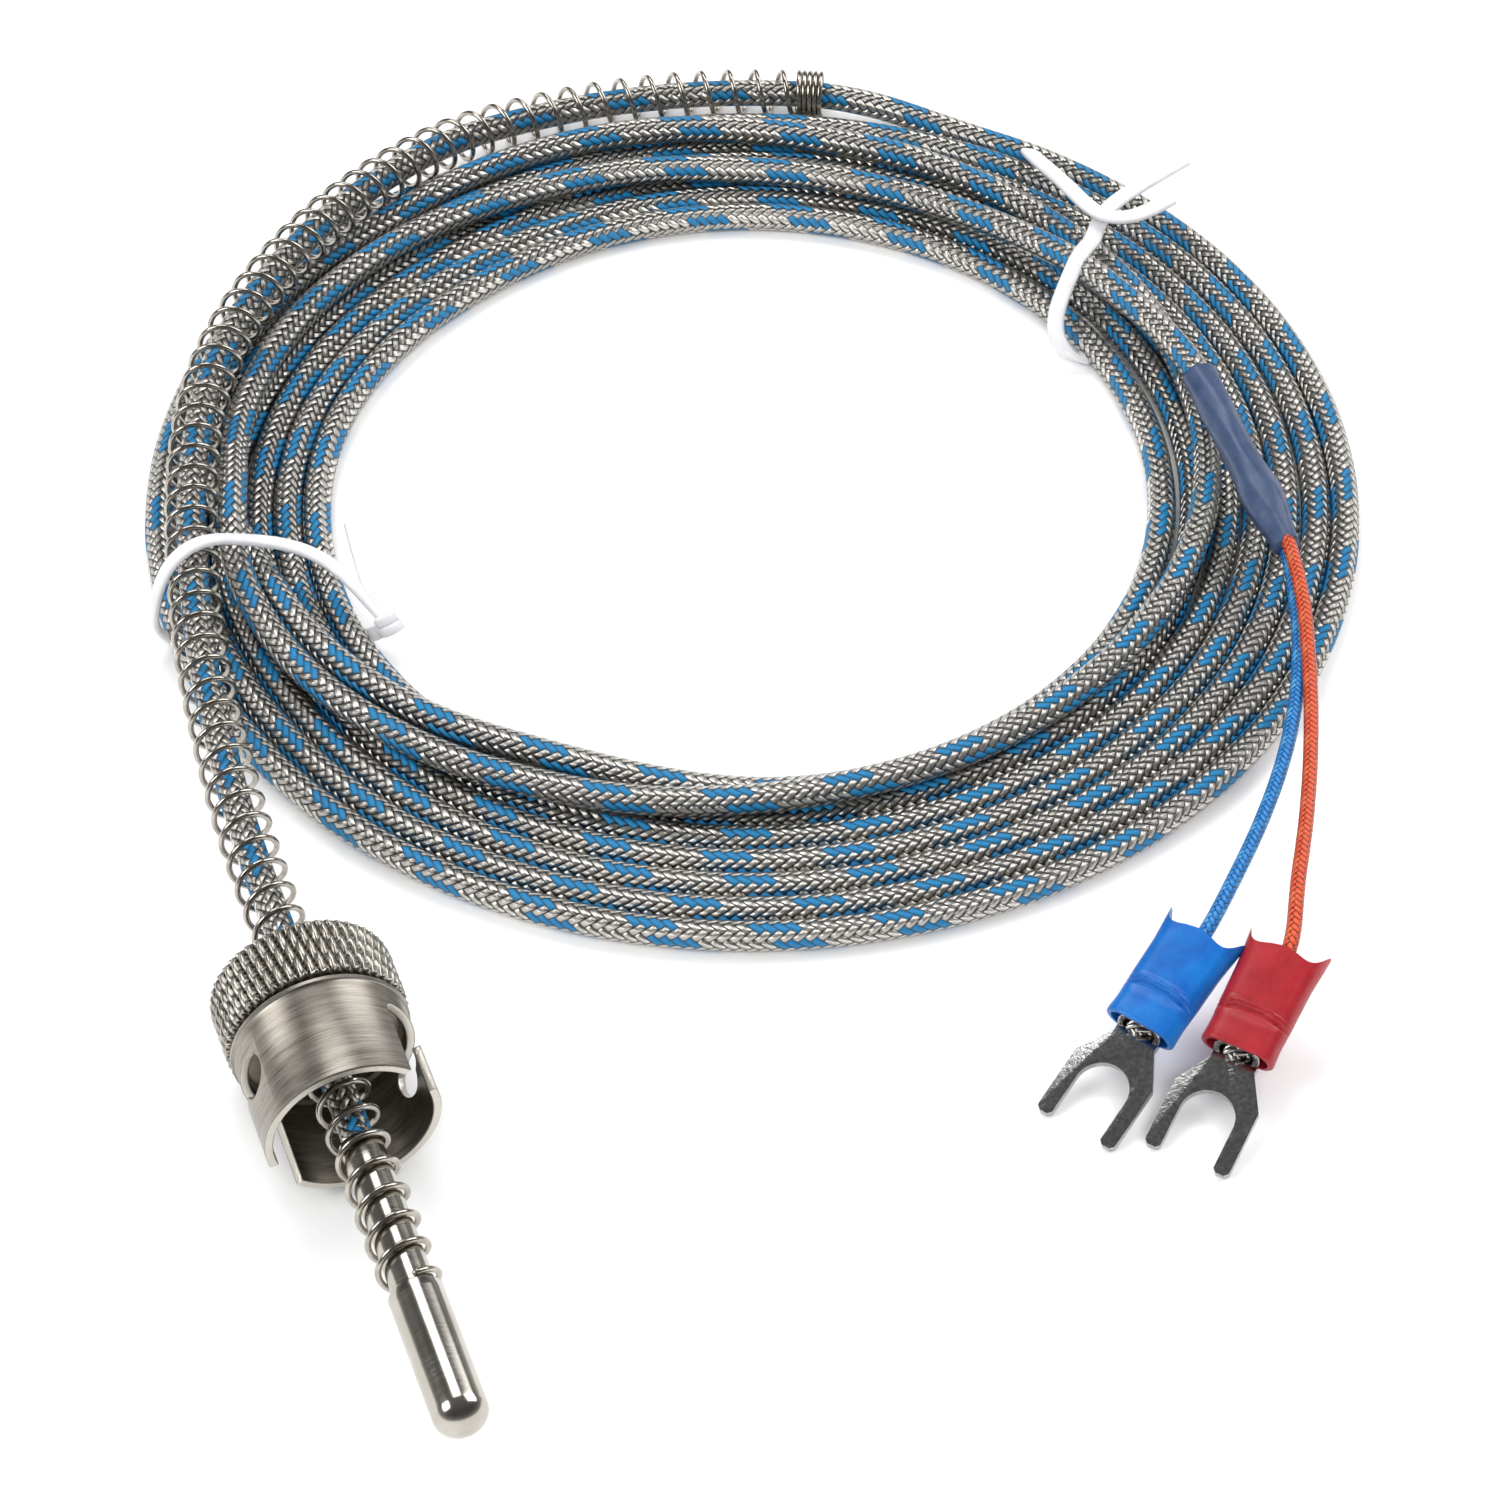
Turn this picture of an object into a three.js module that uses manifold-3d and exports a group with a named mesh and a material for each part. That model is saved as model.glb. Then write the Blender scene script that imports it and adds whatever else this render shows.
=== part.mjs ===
// A spring-loaded thermocouple for a boiler, oven or heated plate: a stepped steel probe, a knurled
// bayonet cap that screws along a long steel spring, a coiled metal-braided cable held by two
// plastic-coated ties, and two leads that end in insulated fork terminals.
//
// Millimetres, +Z up. The part lies on the plane z = 0. The probe's axis runs along Y at the height of
// the cap's radius, with the probe's tip towards -Y. The origin is on the surface, midway between the
// probe's tip and the back of the cap.
import * as THREE from "three";
import { mergeVertices } from "three/addons/utils/BufferGeometryUtils.js";
import Module from "manifold-3d";

const wasm = await Module();
wasm.setup();

// ---- Driving dimensions ------------------------------------------------------------------------
const GAP = 0.3; // clearance between pieces that touch on the real object

const TIP_RADIUS = 2.5; // the thick, round-ended sensing length of the probe
const TIP_LENGTH = 15;
const TIP_DOME = 2.1; // length of the rounded end
const NECK_RADIUS = 2; // the thinner length that the spring slides over
const NECK_LENGTH = 17;
const PROBE_BORE_RADIUS = 1.7;
const PROBE_FLOOR = 2.6; // metal left at the closed end

const HEAD_RADIUS = 8.7; // over the points of the knurl
const HEAD_LENGTH = 7;
const KNURL_DEPTH = 0.35;
const KNURL_ROWS = 6;
const KNURL_SIDES = 56;
const HEAD_BORE_RADIUS = 3.1; // the spring screws through this hole
const SHELL_RADIUS = 8.2;
const SHELL_WALL = 0.8;
const SHELL_LENGTH = 11;
const SHELL_FLOOR = 1.2;
const LIP_RADIUS = 8.45; // the thin flange under the knurled head
const LIP_LENGTH = 0.5;
const SLOT_WIDTH = 4.2; // for a bayonet pin of 4 mm
const SLOT_TOP = 2.6; // from the head's front face to the far edge of the slot
const SLOT_ENTRY_ANGLE = 59; // degrees from the top, clockwise as seen from the tip
const SLOT_TURN = 54; // degrees from the entry to the locking pocket
const SLOT_LEG_WIDTH = 2.9;
const SLOT_POCKET_RADIUS = 2.1;

const WIRE_RADIUS = 0.25; // spring wire
const SPRING_RADIUS = 2.5; // to the middle of the wire
const SPRING_PITCH = 3.1;
const SPRING_END_TURNS = 5; // close-wound turns at the cable end
const SPRING_END_PITCH = 0.62;

const CABLE_RADIUS = 1.5;
const COIL_CENTRE = new THREE.Vector2(64, 80.7);
const COIL_INNER_RADIUS = 44.1;
const COIL_OUTER_RADIUS = 62.6;
const COIL_HEIGHT = 5.6; // two layers of cable

const SHRINK_RADIUS = 2.15;
const LEAD_RADIUS = 0.65;

const TERMINAL_LENGTH = 22;
const SLEEVE_LENGTH = 10.8;
const SLEEVE_WIDTH = 7.8;
const SLEEVE_HEIGHT = 4;
const FORK_THICKNESS = 0.8;
const FORK_WIDTH = 8.4;
const FORK_GAP = 5.3;
const FORK_GAP_DEPTH = 7.2;
const FORK_NECK_WIDTH = 4.4;
const TERMINAL_TILT = 18; // degrees, tips down

// ---- Places worked out from the dimensions -----------------------------------------------------
const AXIS_HEIGHT = HEAD_RADIUS;
const PROBE_AND_CAP_LENGTH = 52;
const TIP_Y = -PROBE_AND_CAP_LENGTH / 2;
const SHOULDER_Y = TIP_Y + TIP_LENGTH;
const NECK_END_Y = SHOULDER_Y + NECK_LENGTH;
const HEAD_BACK_Y = PROBE_AND_CAP_LENGTH / 2;
const HEAD_FRONT_Y = HEAD_BACK_Y - HEAD_LENGTH;
const MOUTH_Y = HEAD_FRONT_Y - SHELL_LENGTH;

// The cable's middle line from the probe's shoulder to where it joins the coil, chosen by hand:
// straight back through the cap, onto the coil's outer edge, and down to the surface behind the coil.
const CABLE_ROUTE = [
  [0, -11, 8.7],
  [0, 6, 8.7],
  [0, 20, 8.7],
  [0, 34, 8.7],
  [0.1, 44, 8.7],
  [0.5, 52, 8.7],
  [1.3, 61, 8.7],
  [2.4, 70.5, 8.7],
  [4.1, 79.5, 8.7],
  [6, 88, 8.7],
  [8.4, 96.5, 8.7],
  [11.3, 104.4, 8.7],
  [15.1, 111.9, 8.7],
  [20.2, 119, 8.6],
  [26.3, 125.7, 8.3],
  [33.1, 132, 7.5],
  [40, 137.3, 6.4],
  [46.6, 141.6, 5.2],
  [52.7, 144.7, 4],
  [59.4, 146.2, 3.2],
  [67.4, 146.5, 2.9],
  [75.4, 145.5, 2.9],
  [83.2, 143.6, 2.9],
  [90.8, 140.8, 2.9],
  [94.9, 138.8, 2.9],
  [99.7, 135.7, 2.5],
  [104, 132, 1.9],
  [108, 127.9, 1.6],
  [111.9, 123.8, 1.55],
];
const SPRING_LENGTH = 219; // along the route, from the probe's shoulder
const SPRING_START = GAP + WIRE_RADIUS;

// The cable's last stretch, from the top of the coil into the heat-shrink sleeve.
const TAIL_ROUTE = [
  [109.6, 92, 7.5],
  [111.3, 86.5, 7.5],
  [112.4, 80, 7.8],
  [112.46, 74, 8.1],
  [112.12, 70, 8.1],
  [111.77, 66, 8.1],
];
const SHRINK_START = new THREE.Vector3(112.5, 74.4, 8.1);
const SHRINK_END = new THREE.Vector3(110.2, 47.6, 8.1);
// The two insulated leads, from inside the sleeve to near their terminals.
const RED_ROUTE = [
  [110.72, 53.6, 8.85],
  [110.24, 48, 8.85],
  [108.4, 40.5, 8.6],
  [105.8, 33.5, 8.3],
  [102.8, 26.5, 8.2],
  [99.4, 19.5, 8.3],
  [95.6, 12.5, 8.6],
  [91.6, 5.8, 8.9],
];
const BLUE_ROUTE = [
  [110.72, 53.6, 7.35],
  [110.24, 48, 7.35],
  [107.9, 40.5, 7.2],
  [104.9, 33.5, 7.2],
  [101.3, 27, 7.5],
  [96.9, 20.5, 8],
  [91.8, 14.2, 8.5],
  [86.4, 8.4, 8.8],
];
const RED_TERMINAL = { tip: [71.4, -15.1], rearHeading: 41 };
const BLUE_TERMINAL = { tip: [63.3, -8.4], rearHeading: 33.5 };

// ---- Materials ---------------------------------------------------------------------------------
function finish(color, roughness, metalness) {
  return new THREE.MeshStandardMaterial({ color, roughness, metalness });
}
const MATERIALS = {
  steel: () => finish(0xc9c7c2, 0.15, 1),
  nickel: () => finish(0xa9a7a2, 0.35, 1),
  wire: () => finish(0x8f8b84, 0.25, 1),
  braid: () => finish(0xa6a39c, 0.45, 0.6),
  ceramic: () => finish(0xe6e2d8, 0.9, 0),
  glassFibre: () => finish(0xe9e4d6, 0.85, 0),
  alloy: () => finish(0x9c968c, 0.35, 1),
  shrink: () => finish(0x49597a, 0.5, 0),
  redBraid: () => finish(0xd9553a, 0.7, 0),
  blueBraid: () => finish(0x2f7fc4, 0.7, 0),
  redVinyl: () => finish(0xb3272f, 0.4, 0),
  blueVinyl: () => finish(0x1565c8, 0.4, 0),
  tinned: () => finish(0xc8c8c8, 0.2, 1),
  copper: () => finish(0xb9b4ac, 0.3, 1),
  tie: () => finish(0xf2f2f0, 0.4, 0),
};

// ---- Small tools -------------------------------------------------------------------------------
function mesh(name, geometry, material) {
  const made = new THREE.Mesh(geometry, MATERIALS[material]());
  made.name = name;
  return made;
}

// A turned piece about the probe's axis: profile points are [radius, y].
function turned(profile, sides = 32) {
  const points = profile.map(([radius, y]) => new THREE.Vector2(radius, y));
  return new THREE.LatheGeometry(points, sides);
}

function onAxis(name, geometry, material) {
  const made = mesh(name, geometry, material);
  made.position.z = AXIS_HEIGHT;
  return made;
}

function regularSection(radius, sides) {
  const corners = [];
  for (let i = 0; i < sides; i++) {
    const angle = (2 * Math.PI * i) / sides;
    corners.push(new THREE.Vector2(radius * Math.cos(angle), radius * Math.sin(angle)));
  }
  return new THREE.Shape(corners);
}

function smoothRoute(points) {
  const route = new THREE.CatmullRomCurve3(points.map((p) => new THREE.Vector3(...p)));
  route.arcLengthDivisions = 400;
  return route;
}

function tubeAlong(curve, section, steps) {
  return new THREE.ExtrudeGeometry(section, { steps, bevelEnabled: false, extrudePath: curve });
}

// The stretch of a route between two distances from its start.
class Stretch extends THREE.Curve {
  constructor(route, from, to) {
    super();
    this.route = route;
    this.from = from;
    this.to = to;
    this.whole = route.getLength();
  }
  getPoint(t, target = new THREE.Vector3()) {
    const distance = this.from + t * (this.to - this.from);
    return target.copy(this.route.getPointAt(distance / this.whole));
  }
}

// A right-handed helix of wire around a route, between two distances along it.
class SpringWire extends THREE.Curve {
  constructor(route, from, to, pitch, startAngle) {
    super();
    this.path = new Stretch(route, from, to);
    this.turns = (to - from) / pitch;
    this.startAngle = startAngle;
    this.radius = SPRING_RADIUS;
  }
  getPoint(t, target = new THREE.Vector3()) {
    const step = 1e-3;
    const centre = this.path.getPoint(t);
    const ahead = this.path.getPoint(Math.min(t + step, 1));
    const behind = this.path.getPoint(Math.max(t - step, 0));
    const along = ahead.sub(behind).normalize();
    const side = along.clone().cross(new THREE.Vector3(0, 0, 1)).normalize();
    const up = side.clone().cross(along);
    const angle = this.startAngle + 2 * Math.PI * this.turns * t;
    return target
      .copy(centre)
      .addScaledVector(up, this.radius * Math.cos(angle))
      .addScaledVector(side, this.radius * Math.sin(angle));
  }
}

// ---- Joining and cutting solids ----------------------------------------------------------------
function toSolid(geometry) {
  const bare = geometry.clone();
  bare.deleteAttribute("normal");
  bare.deleteAttribute("uv");
  const merged = mergeVertices(bare, 1e-4);
  const solid = new wasm.Mesh({
    numProp: 3,
    vertProperties: merged.attributes.position.array,
    triVerts: new Uint32Array(merged.index.array),
  });
  return new wasm.Manifold(solid);
}

function toGeometry(solid) {
  const { vertProperties, triVerts } = solid.getMesh();
  const geometry = new THREE.BufferGeometry();
  geometry.setAttribute("position", new THREE.BufferAttribute(vertProperties, 3));
  geometry.setIndex(new THREE.BufferAttribute(triVerts, 1));
  geometry.computeVertexNormals();
  return geometry;
}

// ---- Probe -------------------------------------------------------------------------------------
function probeSheath() {
  const profile = [];
  const domeSteps = 6;
  for (let i = 0; i <= domeSteps; i++) {
    const angle = (Math.PI / 2) * (i / domeSteps);
    profile.push([TIP_RADIUS * Math.sin(angle), TIP_Y + TIP_DOME * (1 - Math.cos(angle))]);
  }
  const edge = 0.2;
  profile.push([TIP_RADIUS, SHOULDER_Y - edge]);
  profile.push([TIP_RADIUS - edge, SHOULDER_Y]);
  profile.push([NECK_RADIUS, SHOULDER_Y]);
  profile.push([NECK_RADIUS, NECK_END_Y]);
  profile.push([PROBE_BORE_RADIUS, NECK_END_Y]);
  profile.push([PROBE_BORE_RADIUS, TIP_Y + PROBE_FLOOR + PROBE_BORE_RADIUS / 2]);
  profile.push([0, TIP_Y + PROBE_FLOOR]);
  return onAxis("probe_sheath", turned(profile, 28), "steel");
}

const JUNCTION_Y = TIP_Y + 5;
const JUNCTION_RADIUS = 0.55;
const CONDUCTOR_RADIUS = 0.15;
const CONDUCTOR_OFFSET = 0.72;
const INSULATION_START_Y = TIP_Y + 13;
const INSULATION_END_Y = TIP_Y + 23;
const INSULATION_RADIUS = 0.62;
const INSULATION_BORE_RADIUS = 0.3;
const CHANNEL_CLEARANCE = 0.12; // round each conductor, in the ceramic

function conductorCurve(sign) {
  const near = 0.22;
  const points = [
    [sign * near, JUNCTION_Y + JUNCTION_RADIUS + 0.15, 0],
    [sign * 2 * near, JUNCTION_Y + 2.4, 0],
    [sign * CONDUCTOR_OFFSET, JUNCTION_Y + 5, 0],
    [sign * CONDUCTOR_OFFSET, INSULATION_START_Y, 0],
    [sign * CONDUCTOR_OFFSET, INSULATION_END_Y, 0],
  ];
  return smoothRoute(points);
}

function probeInside() {
  const group = new THREE.Group();
  const bead = new THREE.SphereGeometry(JUNCTION_RADIUS, 12, 8);
  bead.translate(0, JUNCTION_Y, 0);
  group.add(onAxis("hot_junction", bead, "alloy"));

  const cavity = new THREE.SphereGeometry(JUNCTION_RADIUS + 0.2, 12, 8);
  cavity.translate(0, JUNCTION_Y, 0);
  const fillRadius = PROBE_BORE_RADIUS - 0.1;
  const fillProfile = [
    [0, TIP_Y + PROBE_FLOOR + 1.1],
    [fillRadius, TIP_Y + PROBE_FLOOR + 1.1],
    [fillRadius, INSULATION_START_Y - GAP],
    [0, INSULATION_START_Y - GAP],
  ];
  let fill = toSolid(turned(fillProfile, 24)).subtract(toSolid(cavity));

  for (const [name, sign] of [["positive", 1], ["negative", -1]]) {
    const curve = conductorCurve(sign);
    const wire = tubeAlong(curve, regularSection(CONDUCTOR_RADIUS, 6), 10);
    group.add(onAxis(`conductor_${name}`, wire, "alloy"));
    const channel = tubeAlong(curve, regularSection(CONDUCTOR_RADIUS + CHANNEL_CLEARANCE, 6), 10);
    fill = fill.subtract(toSolid(channel));
    const sleeve = turned(
      [
        [INSULATION_BORE_RADIUS, INSULATION_START_Y],
        [INSULATION_RADIUS, INSULATION_START_Y],
        [INSULATION_RADIUS, INSULATION_END_Y],
        [INSULATION_BORE_RADIUS, INSULATION_END_Y],
        [INSULATION_BORE_RADIUS, INSULATION_START_Y],
      ],
      12,
    );
    sleeve.translate(sign * CONDUCTOR_OFFSET, 0, 0);
    group.add(onAxis(`insulation_${name}`, sleeve, "glassFibre"));
  }
  group.add(onAxis("ceramic_fill", toGeometry(fill), "ceramic"));

  // The cut end of the cable, which the neck is swaged onto.
  const end = turned(
    [
      [0, INSULATION_END_Y + GAP],
      [CABLE_RADIUS, INSULATION_END_Y + GAP],
      [CABLE_RADIUS, NECK_END_Y],
      [0, NECK_END_Y],
    ],
    16,
  );
  group.add(onAxis("cable_end_in_probe", end, "braid"));
  return group;
}

// ---- Bayonet cap -------------------------------------------------------------------------------
function knurledHead() {
  const front = HEAD_FRONT_Y + GAP;
  const valley = HEAD_RADIUS - KNURL_DEPTH;
  const chamfer = 0.45;
  const knurlFrom = front + chamfer;
  const knurlTo = HEAD_BACK_Y - chamfer;
  const profile = [
    [HEAD_BORE_RADIUS, front],
    [valley - chamfer, front],
  ];
  const firstKnurlRow = profile.length;
  for (let row = 0; row <= KNURL_ROWS; row++) {
    profile.push([valley, knurlFrom + ((knurlTo - knurlFrom) * row) / KNURL_ROWS]);
  }
  profile.push([valley - chamfer, HEAD_BACK_Y]);
  profile.push([HEAD_BORE_RADIUS + 0.6, HEAD_BACK_Y]);
  profile.push([HEAD_BORE_RADIUS, HEAD_BACK_Y - 0.6]);
  profile.push([HEAD_BORE_RADIUS, front]);
  const geometry = turned(profile, KNURL_SIDES);

  // Every second point of the knurled rows stands out, so that the facets form slanting diamonds.
  const position = geometry.getAttribute("position");
  const rows = profile.length;
  for (let side = 0; side <= KNURL_SIDES; side++) {
    for (let row = 1; row < KNURL_ROWS; row++) {
      if ((side + row) % 2) continue;
      const index = side * rows + firstKnurlRow + row;
      const scale = HEAD_RADIUS / valley;
      position.setX(index, position.getX(index) * scale);
      position.setZ(index, position.getZ(index) * scale);
    }
  }
  return onAxis("cap_knurled_head", geometry, "nickel");
}

// A cutter for one bayonet slot, drawn flat as [distance round the shell, y] and then wrapped round
// it: straight in from the open end, then round under a hook to the pocket that holds the pin.
function slotCutter(turn) {
  const half = SLOT_WIDTH / 2;
  const farY = HEAD_FRONT_Y - SLOT_TOP;
  const nearY = farY - SLOT_LEG_WIDTH;
  const pocketX = THREE.MathUtils.degToRad(SLOT_TURN) * SHELL_RADIUS;
  const pocketY = farY - SLOT_POCKET_RADIUS;
  const arcEnd = -Math.PI + Math.asin((pocketY - nearY) / SLOT_POCKET_RADIUS);
  const outline = new THREE.Shape();
  outline.moveTo(-half, MOUTH_Y - 1);
  outline.lineTo(-half, farY - 0.8);
  outline.lineTo(0.8 - half, farY);
  outline.absarc(pocketX, pocketY, SLOT_POCKET_RADIUS, Math.PI / 2, arcEnd, true);
  outline.lineTo(half + 0.4, nearY);
  outline.lineTo(half, nearY - 0.4);
  outline.lineTo(half, MOUTH_Y - 1);
  const flat = { depth: 1, bevelEnabled: false, curveSegments: 14 };
  const cutter = new THREE.ExtrudeGeometry(outline, flat);
  const inside = SHELL_RADIUS - 3 * SHELL_WALL;
  const outside = SHELL_RADIUS * 1.6; // its flat end spans a wide angle, so it starts well outside
  const position = cutter.getAttribute("position");
  const entry = THREE.MathUtils.degToRad(SLOT_ENTRY_ANGLE + turn);
  for (let i = 0; i < position.count; i++) {
    const angle = entry + position.getX(i) / SHELL_RADIUS;
    const radius = position.getZ(i) > 0.5 ? outside : inside;
    const y = position.getY(i);
    position.setXYZ(i, radius * Math.sin(angle), y, radius * Math.cos(angle));
  }
  return cutter;
}

function bayonetShell() {
  const inner = SHELL_RADIUS - SHELL_WALL;
  const floorY = HEAD_FRONT_Y - SHELL_FLOOR;
  const profile = [
    [HEAD_BORE_RADIUS, floorY],
    [inner, floorY],
    [inner, MOUTH_Y],
    [SHELL_RADIUS - 0.1, MOUTH_Y],
    [SHELL_RADIUS, MOUTH_Y + 0.15],
    [SHELL_RADIUS, HEAD_FRONT_Y - LIP_LENGTH],
    [LIP_RADIUS, HEAD_FRONT_Y - LIP_LENGTH],
    [LIP_RADIUS, HEAD_FRONT_Y],
    [HEAD_BORE_RADIUS, HEAD_FRONT_Y],
    [HEAD_BORE_RADIUS, floorY],
  ];
  let shell = toSolid(turned(profile, 48));
  for (const turn of [0, 180]) shell = shell.subtract(toSolid(slotCutter(turn)));
  return onAxis("cap_bayonet_shell", toGeometry(shell), "nickel");
}

// ---- Spring ------------------------------------------------------------------------------------
const route = smoothRoute(CABLE_ROUTE);
const SPRING_STEPS_A_TURN = 7;
const WIRE_SIDES = 4;

function springStretch(name, from, to, pitch, startAngle) {
  const curve = new SpringWire(route, from, to, pitch, startAngle);
  const steps = Math.round(curve.turns * SPRING_STEPS_A_TURN);
  curve.arcLengthDivisions = steps * 6;
  return mesh(name, tubeAlong(curve, regularSection(WIRE_RADIUS, WIRE_SIDES), steps), "wire");
}

function spring() {
  const group = new THREE.Group();
  const start = SPRING_START;
  const gripFrom = HEAD_FRONT_Y + 1 - SHOULDER_Y;
  const gripTo = HEAD_BACK_Y - 1 - SHOULDER_Y;
  const endLength = SPRING_END_TURNS * SPRING_END_PITCH;
  const closedFrom = SPRING_LENGTH - endLength;
  const cut = 0.04; // of a turn left out between two stretches of the one wire
  const angleAt = (distance) => (2 * Math.PI * (distance - start)) / SPRING_PITCH;
  const stretches = [
    ["spring_below_cap", start, gripFrom],
    ["spring_turns_in_cap", gripFrom, gripTo],
    ["spring_behind_cap", gripTo, closedFrom],
  ];
  for (const [name, from, to] of stretches) {
    const first = from + cut * SPRING_PITCH;
    const last = to - cut * SPRING_PITCH;
    group.add(springStretch(name, first, last, SPRING_PITCH, angleAt(first)));
  }
  const closedStart = closedFrom + 2 * cut * SPRING_PITCH;
  const closedAngle = angleAt(closedFrom) + 4 * Math.PI * cut;
  const closedTo = closedStart + endLength;
  const name = "spring_closed_end";
  group.add(springStretch(name, closedStart, closedTo, SPRING_END_PITCH, closedAngle));
  return group;
}

// ---- Cable, coil and leads ---------------------------------------------------------------------
function cableRun() {
  const from = NECK_END_Y + GAP - CABLE_ROUTE[0][1];
  const run = new Stretch(route, from, route.getLength());
  return mesh("cable_run", tubeAlong(run, regularSection(CABLE_RADIUS, 8), 40), "braid");
}

function cableCoil(ties) {
  const section = [
    [COIL_INNER_RADIUS, 0],
    [COIL_OUTER_RADIUS, 0],
    [COIL_OUTER_RADIUS, 2],
    [COIL_OUTER_RADIUS - 1.4, 3],
    [COIL_OUTER_RADIUS - 5.2, 4.6],
    [COIL_OUTER_RADIUS - 6, COIL_HEIGHT],
    [COIL_INNER_RADIUS + 1.6, COIL_HEIGHT],
    [COIL_INNER_RADIUS, 3],
    [COIL_INNER_RADIUS, 0],
  ];
  const ring = turned(section, 40);
  ring.rotateX(Math.PI / 2);
  ring.translate(COIL_CENTRE.x, COIL_CENTRE.y, 0);
  let coil = toSolid(ring);
  for (const { loop } of ties) {
    const channel = tubeAlong(loop, regularSection(TIE_RADIUS + GAP, 6), 36);
    coil = coil.subtract(toSolid(channel));
  }
  return mesh("cable_coil", toGeometry(coil), "braid");
}

function cableTail() {
  const tail = smoothRoute(TAIL_ROUTE);
  return mesh("cable_tail", tubeAlong(tail, regularSection(CABLE_RADIUS, 8), 5), "braid");
}

function heatShrink() {
  const length = SHRINK_START.distanceTo(SHRINK_END);
  const bore = CABLE_RADIUS + 0.2;
  const sleeve = turned(
    [
      [bore, 0],
      [SHRINK_RADIUS - 0.25, 0],
      [SHRINK_RADIUS, length * 0.12],
      [SHRINK_RADIUS, length * 0.5],
      [SHRINK_RADIUS - 0.1, length * 0.8],
      [SHRINK_RADIUS - 0.25, length],
      [bore - 0.1, length],
      [bore, 0],
    ],
    20,
  );
  const made = mesh("heat_shrink_sleeve", sleeve, "shrink");
  const direction = SHRINK_END.clone().sub(SHRINK_START).normalize();
  made.quaternion.setFromUnitVectors(new THREE.Vector3(0, 1, 0), direction);
  made.position.copy(SHRINK_START);
  return made;
}

function lead(name, points, end, material) {
  const intoTerminal = [TERMINAL_LENGTH + 1, TERMINAL_LENGTH - 2, LEAD_END_X];
  const last = intoTerminal.map((x) => onTerminalAxis(end, x).toArray());
  const curve = smoothRoute([...points, ...last]);
  return mesh(name, tubeAlong(curve, regularSection(LEAD_RADIUS, 8), 20), material);
}

// ---- Fork terminals ----------------------------------------------------------------------------
// A terminal's own frame: +X from its tips to its wire end, Y across, +Z away from the surface.
// Its tips are at x = 0 and the underside of the fork is at z = 0.
const BARREL_WIDTH = 4.6;
const BARREL_HEIGHT = 2.6;
const BARREL_LENGTH = 6.4;
const BARREL_FRONT_X = TERMINAL_LENGTH - SLEEVE_LENGTH - 0.7;
const SLEEVE_BOTTOM_Z = -(SLEEVE_HEIGHT - BARREL_HEIGHT) / 2;
const STRANDS_END_X = BARREL_FRONT_X + BARREL_LENGTH + 0.4;
const LEAD_END_X = STRANDS_END_X + GAP;

function placeTerminal(object, { tip, rearHeading }) {
  object.rotation.order = "ZYX";
  object.rotation.z = THREE.MathUtils.degToRad(rearHeading);
  object.rotation.y = -THREE.MathUtils.degToRad(TERMINAL_TILT);
  object.position.set(tip[0], tip[1], 0.05);
  object.updateMatrixWorld(true);
}

function onTerminalAxis(place, x) {
  const frame = new THREE.Object3D();
  placeTerminal(frame, place);
  return frame.localToWorld(new THREE.Vector3(x, 0, BARREL_HEIGHT / 2));
}

function stadium(width, height, middle, segments = 6) {
  const radius = height / 2;
  const reach = width / 2 - radius;
  const outline = [];
  for (const side of [1, -1]) {
    for (let i = 0; i <= segments; i++) {
      const angle = -Math.PI / 2 + (Math.PI * i) / segments;
      const across = side * (reach + radius * Math.cos(angle));
      outline.push(new THREE.Vector2(across, middle + side * radius * Math.sin(angle)));
    }
  }
  return outline;
}

// Extrudes an outline in the terminal's Y-Z plane along its X.
function alongTerminal(shape, fromX, toX) {
  const geometry = new THREE.ExtrudeGeometry(shape, { depth: toX - fromX, bevelEnabled: false });
  geometry.rotateX(Math.PI / 2).rotateZ(Math.PI / 2);
  geometry.translate(fromX, 0, 0);
  return geometry;
}

function forkPlate() {
  const half = FORK_WIDTH / 2;
  const gapHalf = FORK_GAP / 2;
  const prong = half - gapHalf;
  const cheekX = FORK_GAP_DEPTH - 0.6;
  const neckX = BARREL_FRONT_X + 0.6;
  const outline = new THREE.Shape();
  outline.moveTo(0, gapHalf + prong * 0.25);
  outline.lineTo(0, gapHalf + prong * 0.75);
  outline.lineTo(0.4, half);
  outline.lineTo(cheekX, half);
  outline.lineTo(neckX - 0.9, FORK_NECK_WIDTH / 2);
  outline.lineTo(neckX + 2, FORK_NECK_WIDTH / 2);
  outline.lineTo(neckX + 2, -FORK_NECK_WIDTH / 2);
  outline.lineTo(neckX - 0.9, -FORK_NECK_WIDTH / 2);
  outline.lineTo(cheekX, -half);
  outline.lineTo(0.4, -half);
  outline.lineTo(0, -gapHalf - prong * 0.75);
  outline.lineTo(0, -gapHalf - prong * 0.25);
  outline.lineTo(0.4, -gapHalf);
  outline.lineTo(FORK_GAP_DEPTH - gapHalf, -gapHalf);
  outline.absarc(FORK_GAP_DEPTH - gapHalf, 0, gapHalf, -Math.PI / 2, Math.PI / 2, false);
  outline.lineTo(0.4, gapHalf);
  return new THREE.ExtrudeGeometry(outline, {
    depth: FORK_THICKNESS,
    bevelEnabled: false,
    curveSegments: 10,
  });
}

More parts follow.
